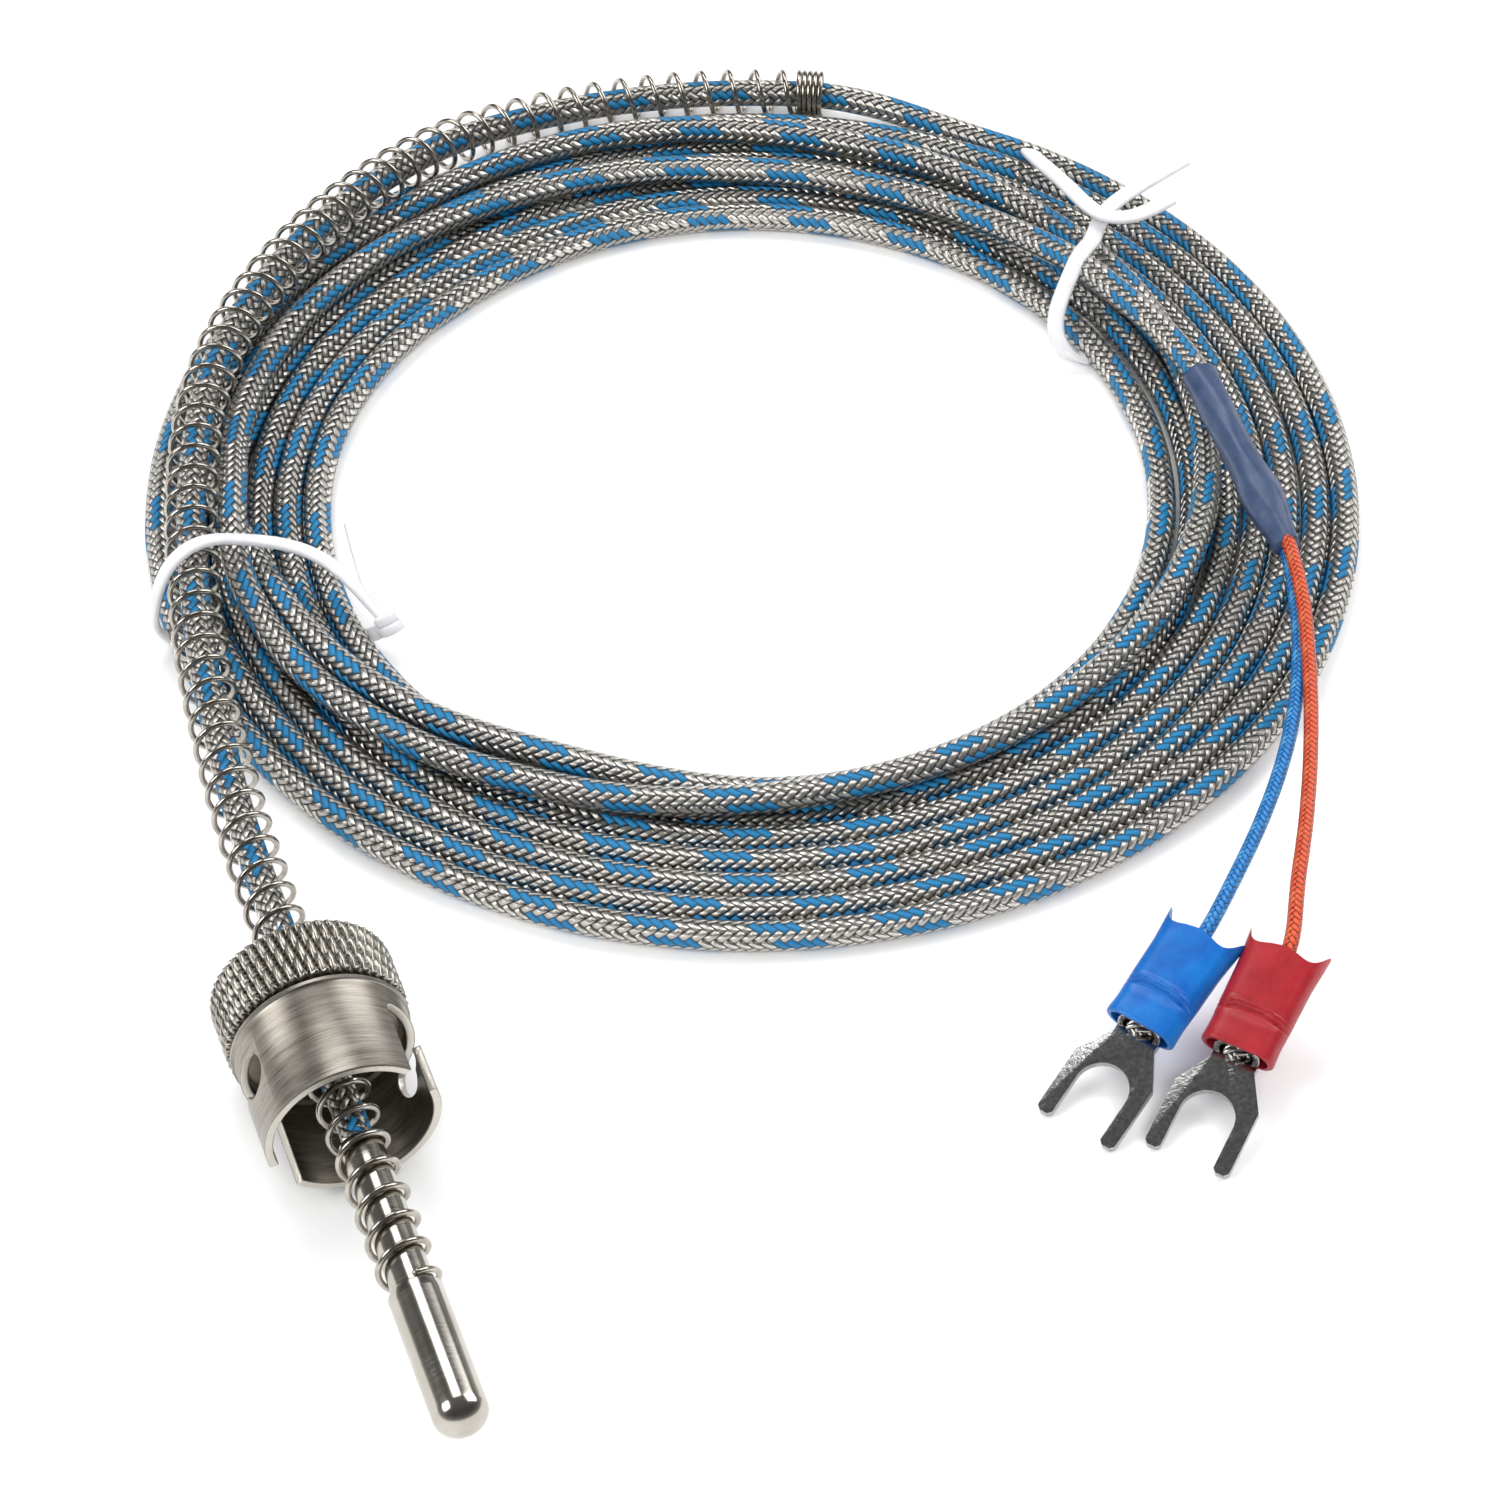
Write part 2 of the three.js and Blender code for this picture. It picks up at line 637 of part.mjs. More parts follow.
function terminalMetal() {
  const barrelShape = new THREE.Shape(stadium(BARREL_WIDTH, BARREL_HEIGHT, BARREL_HEIGHT / 2));
  const boreShape = new THREE.Shape(stadium(3.2, 1.4, BARREL_HEIGHT / 2));
  const barrelEnd = BARREL_FRONT_X + BARREL_LENGTH;
  const barrel = toSolid(alongTerminal(barrelShape, BARREL_FRONT_X, barrelEnd));
  const bore = toSolid(alongTerminal(boreShape, BARREL_FRONT_X - 1, barrelEnd + 1));
  return toGeometry(toSolid(forkPlate()).add(barrel).subtract(bore));
}

function terminalSleeve() {
  const middle = SLEEVE_BOTTOM_Z + SLEEVE_HEIGHT / 2;
  const outer = new THREE.Shape(stadium(SLEEVE_WIDTH, SLEEVE_HEIGHT, middle, 8));
  outer.holes.push(new THREE.Path(stadium(BARREL_WIDTH + 1.4, BARREL_HEIGHT + 0.4, middle)));
  return alongTerminal(outer, TERMINAL_LENGTH - SLEEVE_LENGTH, TERMINAL_LENGTH);
}

function terminalStrands() {
  const strands = new THREE.Shape(stadium(2.5, 0.9, BARREL_HEIGHT / 2));
  return alongTerminal(strands, BARREL_FRONT_X - 0.8, STRANDS_END_X);
}

function terminal(colour, place) {
  const group = new THREE.Group();
  group.add(mesh(`${colour}_terminal_fork`, terminalMetal(), "tinned"));
  group.add(mesh(`${colour}_terminal_sleeve`, terminalSleeve(), `${colour}Vinyl`));
  group.add(mesh(`${colour}_conductor_strands`, terminalStrands(), "copper"));
  placeTerminal(group, place);
  return group;
}

// ---- Cable ties --------------------------------------------------------------------------------
// Each tie is one plastic-coated wire: a loop round the coil that starts and ends at a twisted knot,
// and its two short ends.
const TIE_RADIUS = 0.5;
const KNOT_RADIUS = 0.95;
const LEFT_TIE_DISTANCE = 91; // along the route, to the gap between spring turns that the tie lies in

// Points round the cable in the gap between two turns of the spring, from the outer side over the top.
function gapBetweenTurns(distance, fromDegrees, toDegrees, steps) {
  const turns = Math.floor((distance - SPRING_START) / SPRING_PITCH);
  const points = [];
  for (let i = 0; i <= steps; i++) {
    const degrees = fromDegrees + ((toDegrees - fromDegrees) * i) / steps;
    const at = SPRING_START + (turns + 0.5 + degrees / 360) * SPRING_PITCH;
    const wire = new SpringWire(route, at, at + 1, SPRING_PITCH, THREE.MathUtils.degToRad(degrees));
    wire.radius = CABLE_RADIUS + 0.8;
    points.push(wire.getPoint(0));
  }
  return points;
}

function tie(name, loopPoints, knot, ends) {
  const section = regularSection(TIE_RADIUS, 6);
  const loop = new THREE.CatmullRomCurve3(loopPoints);
  const ball = new THREE.SphereGeometry(KNOT_RADIUS, 10, 6);
  ball.scale(1, 1.3, 1);
  ball.translate(...knot);
  let whole = toSolid(tubeAlong(loop, section, 36)).add(toSolid(ball));
  for (const points of ends) {
    const end = smoothRoute([knot, ...points]);
    whole = whole.add(toSolid(tubeAlong(end, section, 5)));
  }
  return { name, solid: whole, loop };
}

function vectors(points) {
  return points.map((p) => new THREE.Vector3(...p));
}

function leftTie() {
  const knot = [22.1, 73, 3.2];
  const loop = [
    ...vectors([
      knot,
      [21.2, 73.8, 1.2],
      [19, 74.7, 0.62],
      [12, 77, 0.62],
      [4, 79.6, 0.62],
      [0.9, 80.9, 0.9],
      [0.1, 81.4, 2.6],
      [0.7, 81.5, 5.2],
    ]),
    ...gapBetweenTurns(LEFT_TIE_DISTANCE, -100, 60, 6),
    ...vectors([
      [9.4, 83.9, 9.2],
      [12, 84.3, 7.8],
      [15.2, 83.2, 6.9],
      [17.8, 80.8, 6.6],
      [20, 77, 5.7],
      knot,
    ]),
  ];
  return tie("tie_left", loop, knot, [[[21.3, 77, 5.6], [21.4, 80.6, 6.4], [21.9, 85.5, 6.2]]]);
}

function rightTie() {
  const knot = [112.2, 103.1, 7.4];
  const loop = vectors([
    knot,
    [112.2, 108, 7],
    [112.5, 113, 6.2],
    [113.3, 117.6, 4.9],
    [114.2, 120, 3],
    [114, 119.9, 1.1],
    [112.7, 117.5, 0.62],
    [110.5, 104, 0.62],
    [108, 91.5, 0.62],
    [105.6, 89.6, 0.9],
    [103.6, 90.6, 2.4],
    [103.2, 92.6, 4.8],
    [105, 95, 6.6],
    [108.6, 99, 7.2],
    knot,
  ]);
  return tie("tie_right", loop, knot, [
    [[115.5, 103.4, 8.6], [120.6, 105, 9], [125.9, 107, 9]],
    [[114.2, 100, 8.6], [117.5, 99.9, 9], [121.6, 101.1, 9]],
  ]);
}

// ---- Assembly ----------------------------------------------------------------------------------
function assemble() {
  const part = new THREE.Group();
  part.name = "thermocouple";
  part.add(probeSheath());
  part.add(probeInside());
  part.add(knurledHead());
  part.add(bayonetShell());
  part.add(spring());
  part.add(cableRun());
  part.add(cableTail());
  part.add(heatShrink());
  part.add(lead("lead_red", RED_ROUTE, RED_TERMINAL, "redBraid"));
  part.add(lead("lead_blue", BLUE_ROUTE, BLUE_TERMINAL, "blueBraid"));
  part.add(terminal("red", RED_TERMINAL));
  part.add(terminal("blue", BLUE_TERMINAL));
  const ties = [leftTie(), rightTie()];
  for (const { name, solid } of ties) part.add(mesh(name, toGeometry(solid), "tie"));
  part.add(cableCoil(ties));
  return part;
}

export default assemble();
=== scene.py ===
# Looks for the spring-loaded thermocouple: every visible piece in fine detail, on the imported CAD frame.
# Shapes are worked out in millimetres, in the frame's axes, and made in metres.
import math

import bmesh
import bpy
import numpy as np
from mathutils import Matrix, Vector


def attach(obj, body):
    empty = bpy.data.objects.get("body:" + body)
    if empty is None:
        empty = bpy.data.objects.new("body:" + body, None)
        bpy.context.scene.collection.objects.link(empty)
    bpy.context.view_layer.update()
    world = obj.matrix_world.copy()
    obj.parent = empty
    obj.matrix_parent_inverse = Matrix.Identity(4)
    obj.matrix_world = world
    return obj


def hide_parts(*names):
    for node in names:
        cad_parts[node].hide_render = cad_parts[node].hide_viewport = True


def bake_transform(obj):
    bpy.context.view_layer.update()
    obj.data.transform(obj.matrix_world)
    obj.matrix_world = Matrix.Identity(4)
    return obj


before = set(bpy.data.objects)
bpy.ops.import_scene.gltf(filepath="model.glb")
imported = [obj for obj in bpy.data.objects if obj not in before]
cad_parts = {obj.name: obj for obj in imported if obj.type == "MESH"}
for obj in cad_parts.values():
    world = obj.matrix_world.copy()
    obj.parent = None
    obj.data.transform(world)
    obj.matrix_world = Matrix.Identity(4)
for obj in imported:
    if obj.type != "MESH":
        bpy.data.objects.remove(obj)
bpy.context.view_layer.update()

MM = 0.001
RNG = np.random.default_rng(7)

# ---- Dimensions shared with the CAD, in millimetres
AXIS_Z = 8.7
TIP_Y, SHOULDER_Y, NECK_END_Y = -26.0, -11.0, 6.0
MOUTH_Y, HEAD_FRONT_Y, HEAD_BACK_Y = 8.0, 19.0, 26.0
TIP_R, NECK_R, BORE_R = 2.5, 2.0, 1.7
HEAD_R, HEAD_BORE_R, LIP_R = 8.7, 3.1, 8.45
SHELL_R, SHELL_WALL = 8.2, 0.8
SLOT_WIDTH, SLOT_TOP, SLOT_LEG_WIDTH, SLOT_POCKET_R = 4.2, 2.6, 2.9, 2.1
SLOT_ENTRY_ANGLE, SLOT_TURN = 59.0, 54.0
WIRE_R, SPRING_R, SPRING_PITCH = 0.3, 2.5, 3.1
SPRING_LENGTH, SPRING_END_TURNS, SPRING_END_PITCH = 219.0, 5, 0.62
SPRING_START = 0.55
CABLE_R = 1.5
COIL_CENTRE = np.array([64.0, 80.7])
LEAD_R = 0.74

CABLE_ROUTE = [
    (0, -11, 8.7), (0, 6, 8.7), (0, 20, 8.7), (0, 34, 8.7), (0.1, 44, 8.7), (0.5, 52, 8.7),
    (1.3, 61, 8.7), (2.4, 70.5, 8.7), (4.1, 79.5, 8.7), (6, 88, 8.7), (8.4, 96.5, 8.7),
    (11.3, 104.4, 8.7), (15.1, 111.9, 8.7), (20.2, 119, 8.6), (26.3, 125.7, 8.3),
    (33.1, 132, 7.5), (40, 137.3, 6.4), (46.6, 141.6, 5.2), (52.7, 144.7, 4), (59.4, 146.2, 3.2),
    (67.4, 146.5, 2.9), (75.4, 145.5, 2.9), (83.2, 143.6, 2.9), (90.8, 140.8, 2.9),
    (94.9, 138.8, 2.9), (99.7, 135.7, 2.5), (104, 132, 1.9), (108, 127.9, 1.6),
    (111.9, 123.8, 1.55),
]
TAIL_ROUTE = [
    (109.6, 92, 7.5), (111.3, 86.5, 7.5), (112.4, 80, 7.8), (112.46, 74, 8.1), (112.12, 70, 8.1),
    (111.77, 66, 8.1),
]
SHRINK_START, SHRINK_END = (112.5, 74.4, 8.1), (110.2, 47.6, 8.1)
RED_ROUTE = [
    (110.72, 53.6, 8.85), (110.24, 48, 8.85), (108.4, 40.5, 8.6), (105.8, 33.5, 8.3),
    (102.8, 26.5, 8.2), (99.4, 19.5, 8.3), (95.6, 12.5, 8.6), (91.6, 5.8, 8.9),
]
BLUE_ROUTE = [
    (110.72, 53.6, 7.35), (110.24, 48, 7.35), (107.9, 40.5, 7.2), (104.9, 33.5, 7.2),
    (101.3, 27, 7.5), (96.9, 20.5, 8), (91.8, 14.2, 8.5), (86.4, 8.4, 8.8),
]
RED_PLACE = {"tip": (71.4, -15.1), "heading": 41.0}
BLUE_PLACE = {"tip": (63.3, -8.4), "heading": 33.5}
TERMINAL_TILT = 18.0
TERMINAL_LENGTH, SLEEVE_LENGTH = 22.0, 10.8
BARREL_HEIGHT, BARREL_WIDTH, BARREL_LENGTH = 2.6, 4.6, 6.4
BARREL_FRONT_X = TERMINAL_LENGTH - SLEEVE_LENGTH - 0.7
LEAD_END_X = BARREL_FRONT_X + BARREL_LENGTH + 0.7


# ---- Curves
def smooth_route(points, per_segment=24):
    """A centripetal Catmull-Rom curve through the points, as many close points."""
    p = np.array(points, float)
    p = np.vstack([2 * p[0] - p[1], p, 2 * p[-1] - p[-2]])
    t = np.arange(per_segment)[:, None] / per_segment
    made = []
    for a, b, c, d in zip(p, p[1:], p[2:], p[3:]):
        t0, t1, t2 = (max(np.linalg.norm(step), 1e-6) ** 0.5 for step in (b - a, c - b, d - c))
        m1 = ((b - a) / t0 - (c - a) / (t0 + t1) + (c - b) / t1) * t1
        m2 = ((c - b) / t1 - (d - b) / (t1 + t2) + (d - c) / t2) * t1
        from_b = (2 * t**3 - 3 * t**2 + 1) * b + (t**3 - 2 * t**2 + t) * m1
        made.append(from_b + (-2 * t**3 + 3 * t**2) * c + (t**3 - t**2) * m2)
    return np.vstack([*made, p[-2]])


def lengths(points):
    steps = np.linalg.norm(np.diff(points, axis=0), axis=1)
    return np.concatenate([[0], np.cumsum(steps)])


def soften(points, spread):
    """Points averaged with their neighbours, spread being in points."""
    reach = int(round(2.6 * spread))
    kernel = np.exp(-0.5 * (np.arange(-reach, reach + 1) / spread) ** 2)
    kernel /= kernel.sum()
    padded = np.vstack([np.repeat(points[:1], reach, 0), points, np.repeat(points[-1:], reach, 0)])
    return np.stack([np.convolve(padded[:, i], kernel, "valid") for i in range(3)], axis=1)


def at_lengths(points, wanted):
    along = lengths(points)
    return np.stack([np.interp(wanted, along, points[:, i]) for i in range(points.shape[1])], axis=1)


def resample(points, step):
    total = lengths(points)[-1]
    count = max(2, int(round(total / step)) + 1)
    return at_lengths(points, np.linspace(0, total, count))


def unit(vectors):
    return vectors / np.linalg.norm(vectors, axis=-1, keepdims=True)


def directions(points):
    return unit(np.gradient(points, axis=0))


def cross_frames(points):
    """Side and upward unit vectors along a route, kept as upright as the route allows."""
    along = directions(points)
    side = unit(np.cross(along, (0, 0, 1.0)))
    return side, np.cross(side, along)


def circle(sides):
    turn = 2 * np.pi * np.arange(sides) / sides
    return np.stack([np.cos(turn), np.sin(turn)], axis=1)


def rings_along(points, ring, side, upward, scale):
    """A ring of (across, up) points set square to a route at each of its points."""
    across = ring[None, :, 0:1] * side[:, None, :]
    rise = ring[None, :, 1:2] * upward[:, None, :]
    return points[:, None, :] + (across + rise) * scale[:, None, None]


def bell(x, centre, width):
    """One at the centre, fading to nothing over a few widths."""
    return np.exp(-(((x - centre) / width) ** 2))


# ---- Mesh helpers
def link(name, data):
    made = bpy.data.objects.new(name, data)
    bpy.context.scene.collection.objects.link(made)
    return made


def add_object(name, verts_mm, faces):
    data = bpy.data.meshes.new(name)
    data.from_pydata((np.asarray(verts_mm) * MM).tolist(), [], faces)
    data.validate()
    data.polygons.foreach_set("use_smooth", [True] * len(data.polygons))
    return link(name, data)


def grid_faces(rows, columns, wrap_rows=False):
    """Quads over rings of points, ring by ring."""
    r = np.arange(rows if wrap_rows else rows - 1)
    rr, cc = np.meshgrid(r, np.arange(columns), indexing="ij")
    r2, c2 = (rr + 1) % rows, (cc + 1) % columns
    quads = [rr * columns + cc, rr * columns + c2, r2 * columns + c2, r2 * columns + cc]
    return np.stack(quads, axis=-1).reshape(-1, 4)


def wrap_uv(obj, along, sides):
    """Gives a swept tube its UVs: U is the length along it, V the turn round it."""
    u = np.concatenate([np.repeat(along, sides), [along[0], along[-1]]])
    v = np.concatenate([np.tile(np.arange(sides) / sides, len(along)), [0.5, 0.5]])
    data = obj.data
    loops = np.zeros(len(data.loops), int)
    data.loops.foreach_get("vertex_index", loops)
    lu, lv = u[loops], v[loops]
    starts = np.zeros(len(data.polygons), int)
    totals = np.zeros(len(data.polygons), int)
    data.polygons.foreach_get("loop_start", starts)
    data.polygons.foreach_get("loop_total", totals)
    # The last face of a ring runs from the last side to a full turn, not back to none.
    block = starts[totals == 4][:, None] + np.arange(4)
    wrap = block[lv[block].max(axis=1) - lv[block].min(axis=1) > 0.5]
    lv[wrap] = np.where(lv[wrap] < 0.5, lv[wrap] + 1, lv[wrap])
    layer = data.uv_layers.new(name="UVMap")
    layer.data.foreach_set("uv", np.stack([lu, lv], axis=1).ravel())


def sweep(name, points, radii, sides, uv_length=None):
    """A closed tube along points, with one radius or one for each point."""
    side, upward = cross_frames(points)
    scale = np.broadcast_to(radii, len(points))
    verts = rings_along(points, circle(sides), side, upward, scale).reshape(-1, 3)
    faces = grid_faces(len(points), sides)[:, ::-1].tolist()
    verts = np.vstack([verts, points[0], points[-1]])
    start, end = len(verts) - 2, len(verts) - 1
    last = (len(points) - 1) * sides
    for i in range(sides):
        j = (i + 1) % sides
        faces.append([start, i, j])
        faces.append([end, last + j, last + i])
    made = add_object(name, verts, faces)
    if uv_length:
        wrap_uv(made, lengths(points) / uv_length + 10, sides)
    return made


def turned(name, profile, sides, closed=False):
    """A piece turned about the probe's axis from (radius, y) points, where a radius may be a row of
    one for each side; the first and last points are on the axis unless closed."""
    radii = np.array([np.broadcast_to(radius, sides) for radius, _ in profile])
    upward, across = circle(sides).T
    y = np.array([[y] * sides for _, y in profile])
    verts = np.stack([radii * across, y, radii * upward + AXIS_Z], axis=-1).reshape(-1, 3)
    faces = grid_faces(len(profile), sides, wrap_rows=closed)
    return add_object(name, verts, faces.tolist())


def tidy_mesh(obj, cut_caps=False):
    """Merges points that fall together, cuts large faces if asked, and turns the faces outwards."""
    work = bmesh.new()
    work.from_mesh(obj.data)
    bmesh.ops.remove_doubles(work, verts=work.verts, dist=1e-7)
    if cut_caps:
        bmesh.ops.triangulate(work, faces=[f for f in work.faces if len(f.verts) > 4])
    bmesh.ops.recalc_face_normals(work, faces=work.faces)
    work.to_mesh(obj.data)
    work.free()


def capped(name, rings, cut_caps=False):
    """Rings of points joined into a skin, with a face over each end."""
    rows, columns = rings.shape[:2]
    faces = grid_faces(rows, columns).tolist()
    faces.append(list(range(columns))[::-1])
    faces.append([(rows - 1) * columns + i for i in range(columns)])
    made = add_object(name, rings.reshape(-1, 3), faces)
    tidy_mesh(made, cut_caps)
    return made


def modify(obj, kind, **settings):
    step = obj.modifiers.new(kind.lower(), kind)
    for key, value in settings.items():
        setattr(step, key, value)
    return step


def apply_modifiers(obj):
    graph = bpy.context.evaluated_depsgraph_get()
    data = bpy.data.meshes.new_from_object(obj.evaluated_get(graph))
    obj.modifiers.clear()
    obj.data = data


def smooth_by_angle(obj, degrees):
    """Smooth shading with sharp edges where the surface turns by more than the angle."""
    work = bmesh.new()
    work.from_mesh(obj.data)
    limit = math.radians(degrees)
    for edge in work.edges:
        edge.smooth = len(edge.link_faces) != 2 or edge.calc_face_angle(0) < limit
    for face in work.faces:
        face.smooth = True
    work.to_mesh(obj.data)
    work.free()


def combine(obj, other, operation):
    """Cuts the other piece from this one, or joins it on."""
    modify(obj, "BOOLEAN", operation=operation, object=other, solver="EXACT")
    apply_modifiers(obj)
    bpy.data.objects.remove(other, do_unlink=True)


def round_edges(obj, width_mm, segments):
    limit = math.radians(50)
    modify(obj, "BEVEL", width=width_mm * MM, segments=segments, limit_method="ANGLE", angle_limit=limit)
    apply_modifiers(obj)


def join_objects(name, pieces):
    with bpy.context.temp_override(
        active_object=pieces[0], object=pieces[0], selected_objects=pieces, selected_editable_objects=pieces
    ):
        bpy.ops.object.join()
    pieces[0].name = name
    return pieces[0]


# ---- Material helpers
class Nodes:
    """A short way to write a material's nodes."""

    def __init__(self, name):
        self.material = bpy.data.materials.new(name)
        self.material.use_nodes = True
        self.tree = self.material.node_tree
        self.tree.nodes.clear()
        self.shader = self.add("BsdfPrincipled")
        self.add("OutputMaterial", self.shader.outputs[0])

    def plug(self, socket, value):
        """Links another node's output to a socket, or sets the socket to a number or a colour."""
        if isinstance(value, bpy.types.NodeSocket):
            self.tree.links.new(value, socket)
        elif value is not None:
            socket.default_value = (*value, 1) if socket.type == "RGBA" else value

    def add(self, kind, *values, **settings):
        """A new node with its settings, and its first sockets' values."""
        node = self.tree.nodes.new("ShaderNode" + kind)
        for key, value in settings.items():
            setattr(node, key, value)
        for socket, value in zip(node.inputs, values):
            self.plug(socket, value)
        return node

    def plug_named(self, node, **values):
        for key, value in values.items():
            self.plug(node.inputs[key.replace("_", " ")], value)

    def set(self, **values):
        self.plug_named(self.shader, **values)

    def math(self, operation, a, b=None, clamp=False):
        return self.add("Math", a, b, operation=operation, use_clamp=clamp).outputs[0]

    def plus(self, a, b):
        return self.math("ADD", a, b)

    def minus(self, a, b):
        return self.math("SUBTRACT", a, b)

    def times(self, a, b):
        return self.math("MULTIPLY", a, b)

    def wrapped(self, value, limit):
        """The remainder of a value past whole multiples of the limit."""
        return self.math("FLOORED_MODULO", value, float(limit))

    def coordinates(self, kind="Object"):
        return self.add("TexCoord").outputs[kind]

    def split(self, vector):
        return self.add("SeparateXYZ", vector).outputs

    def join(self, x, y, z):
        return self.add("CombineXYZ", x, y, z).outputs[0]

    def noise(self, vector, scale, detail=2.0, roughness=0.5):
        node = self.add("TexNoise")
        self.plug_named(node, Vector=vector, Scale=scale, Detail=detail, Roughness=roughness)
        return node.outputs[0]

    def remap(self, value, low, high, to_low=0.0, to_high=1.0, kind="LINEAR"):
        return self.add("MapRange", value, low, high, to_low, to_high, interpolation_type=kind).outputs[0]

    def between(self, factor, a, b):
        """A number part way from a to b."""
        return self.plus(a, self.times(factor, self.minus(b, a)))

    def mix(self, factor, a, b):
        """A colour part way from a to b."""
        node = self.add("Mix", factor, data_type="RGBA")
        self.plug(node.inputs[6], a)
        self.plug(node.inputs[7], b)
        return node.outputs[2]

    def tones(self, value, dark, light, low=0.3, high=0.7):
        """Two colours laid out by a noise."""
        return self.mix(self.remap(value, low, high), dark, light)

    def bump(self, height, distance_mm, strength):
        node = self.add("Bump")
        self.plug_named(node, Strength=strength, Distance=distance_mm * MM, Height=height)
        return node.outputs[0]


def round_axis_coordinates(n):
    """Coordinates on a piece turned about the probe's axis: (angle, y, radius)."""
    x, y, z = n.split(n.coordinates())[:3]
    up = n.minus(z, AXIS_Z * MM)
    radius = n.math("SQRT", n.plus(n.times(x, x), n.times(up, up)))
    return n.math("ARCTAN2", x, up), y, radius


# ---- Materials
def grained(name, dark, light, blotch, grain, rough, depth, strength, share=None, low=0.3, **fixed):
    """Blotches of two tones and a finer grain, each given as a noise's scale, detail and roughness.
    The bumps are the grain's, or else the blotches' with a share of the grain."""
    n = Nodes(name)
    spots = n.noise(n.coordinates(), *blotch)
    fine = n.noise(n.coordinates(), *grain)
    bumps = fine if share is None else n.plus(spots, n.times(fine, share))
    n.set(
        Base_Color=n.tones(spots, dark, light, low),
        Roughness=n.remap(fine, 0.3, 0.7, *rough),
        Normal=n.bump(bumps, depth, strength),
        **fixed,
    )
    return n.material


def polished_steel():
    """Bright turned steel with faint rings round the probe."""
    n = Nodes("polished_steel")
    angle, y, _ = round_axis_coordinates(n)
    rings = n.noise(n.join(n.times(angle, 0.15), n.times(y, 4200.0), 0.0), 1.0, 3.0, 0.6)
    blotch = n.noise(n.coordinates(), 260.0, 3.0)
    n.set(
        Base_Color=n.tones(blotch, (0.42, 0.395, 0.35), (0.54, 0.515, 0.465), 0.35),
        Metallic=1.0,
        Roughness=n.remap(rings, 0.3, 0.75, 0.12, 0.24),
        Normal=n.bump(rings, 0.004, 0.5),
    )
    return n.material


def brushed_nickel():
    """The shell: brushed round its axis, with fine scratches, brighter, rougher cut edges and an inside face
    painted darker as painted shade.
    """
    n = Nodes("brushed_nickel")
    angle, y, radius = round_axis_coordinates(n)
    fine = n.noise(n.join(n.times(angle, 2.2), n.times(y, 9000.0), radius), 1.0, 4.0, 0.7)
    broad = n.noise(n.join(n.times(angle, 1.1), n.times(y, 1500.0), 0.3), 1.0, 3.0, 0.6)
    brush = n.plus(n.times(fine, 0.65), n.times(broad, 0.35))
    outer = n.tones(brush, (0.15, 0.13, 0.105), (0.42, 0.395, 0.355), 0.36, 0.66)
    # The inside face has darker tones than the outside: painted shade of the shell's inside.
    inner = n.tones(brush, (0.13, 0.11, 0.085), (0.36, 0.33, 0.285), 0.36, 0.66)
    bore = SHELL_R - SHELL_WALL
    face = n.mix(n.remap(radius, (bore + 0.02) * MM, (bore + 0.08) * MM), inner, outer)
    past_bore = n.remap(radius, (bore + 0.04) * MM, (bore + 0.10) * MM)
    short_of_face = n.remap(radius, (SHELL_R - 0.12) * MM, (SHELL_R - 0.05) * MM, 1.0, 0.0)
    cut_edge = n.times(past_bore, short_of_face)
    nicks = n.noise(n.coordinates(), 3400.0, 3.0, 0.6)
    n.set(
        Base_Color=n.mix(cut_edge, face, (0.62, 0.59, 0.53)),
        Metallic=1.0,
        Roughness=n.remap(brush, 0.3, 0.7, 0.28, 0.42),
        Normal=n.bump(n.between(cut_edge, brush, n.times(nicks, 6.0)), 0.014, 0.6),
    )
    return n.material


def knurled_nickel():
    """The knurl: bright crests, and valleys painted dark by radius as painted shade."""
    n = Nodes("knurled_nickel")
    grain = n.noise(n.coordinates(), 2600.0, 3.0, 0.6)
    blotch = n.noise(n.coordinates(), 500.0, 2.0)
    radius = round_axis_coordinates(n)[2]
    # Darker towards the valleys by radius: painted shade in the knurl's grooves.
    crest = n.remap(radius, (HEAD_R - 0.42) * MM, (HEAD_R - 0.08) * MM)
    bright = n.tones(blotch, (0.38, 0.36, 0.32), (0.54, 0.515, 0.47))
    n.set(
        Base_Color=n.mix(crest, (0.10, 0.09, 0.075), bright),
        Metallic=1.0,
        Roughness=n.remap(grain, 0.3, 0.7, 0.24, 0.36),
        Normal=n.bump(grain, 0.008, 0.4),
    )
    return n.material


def scaled(colour, factor):
    return tuple(factor * c for c in colour)


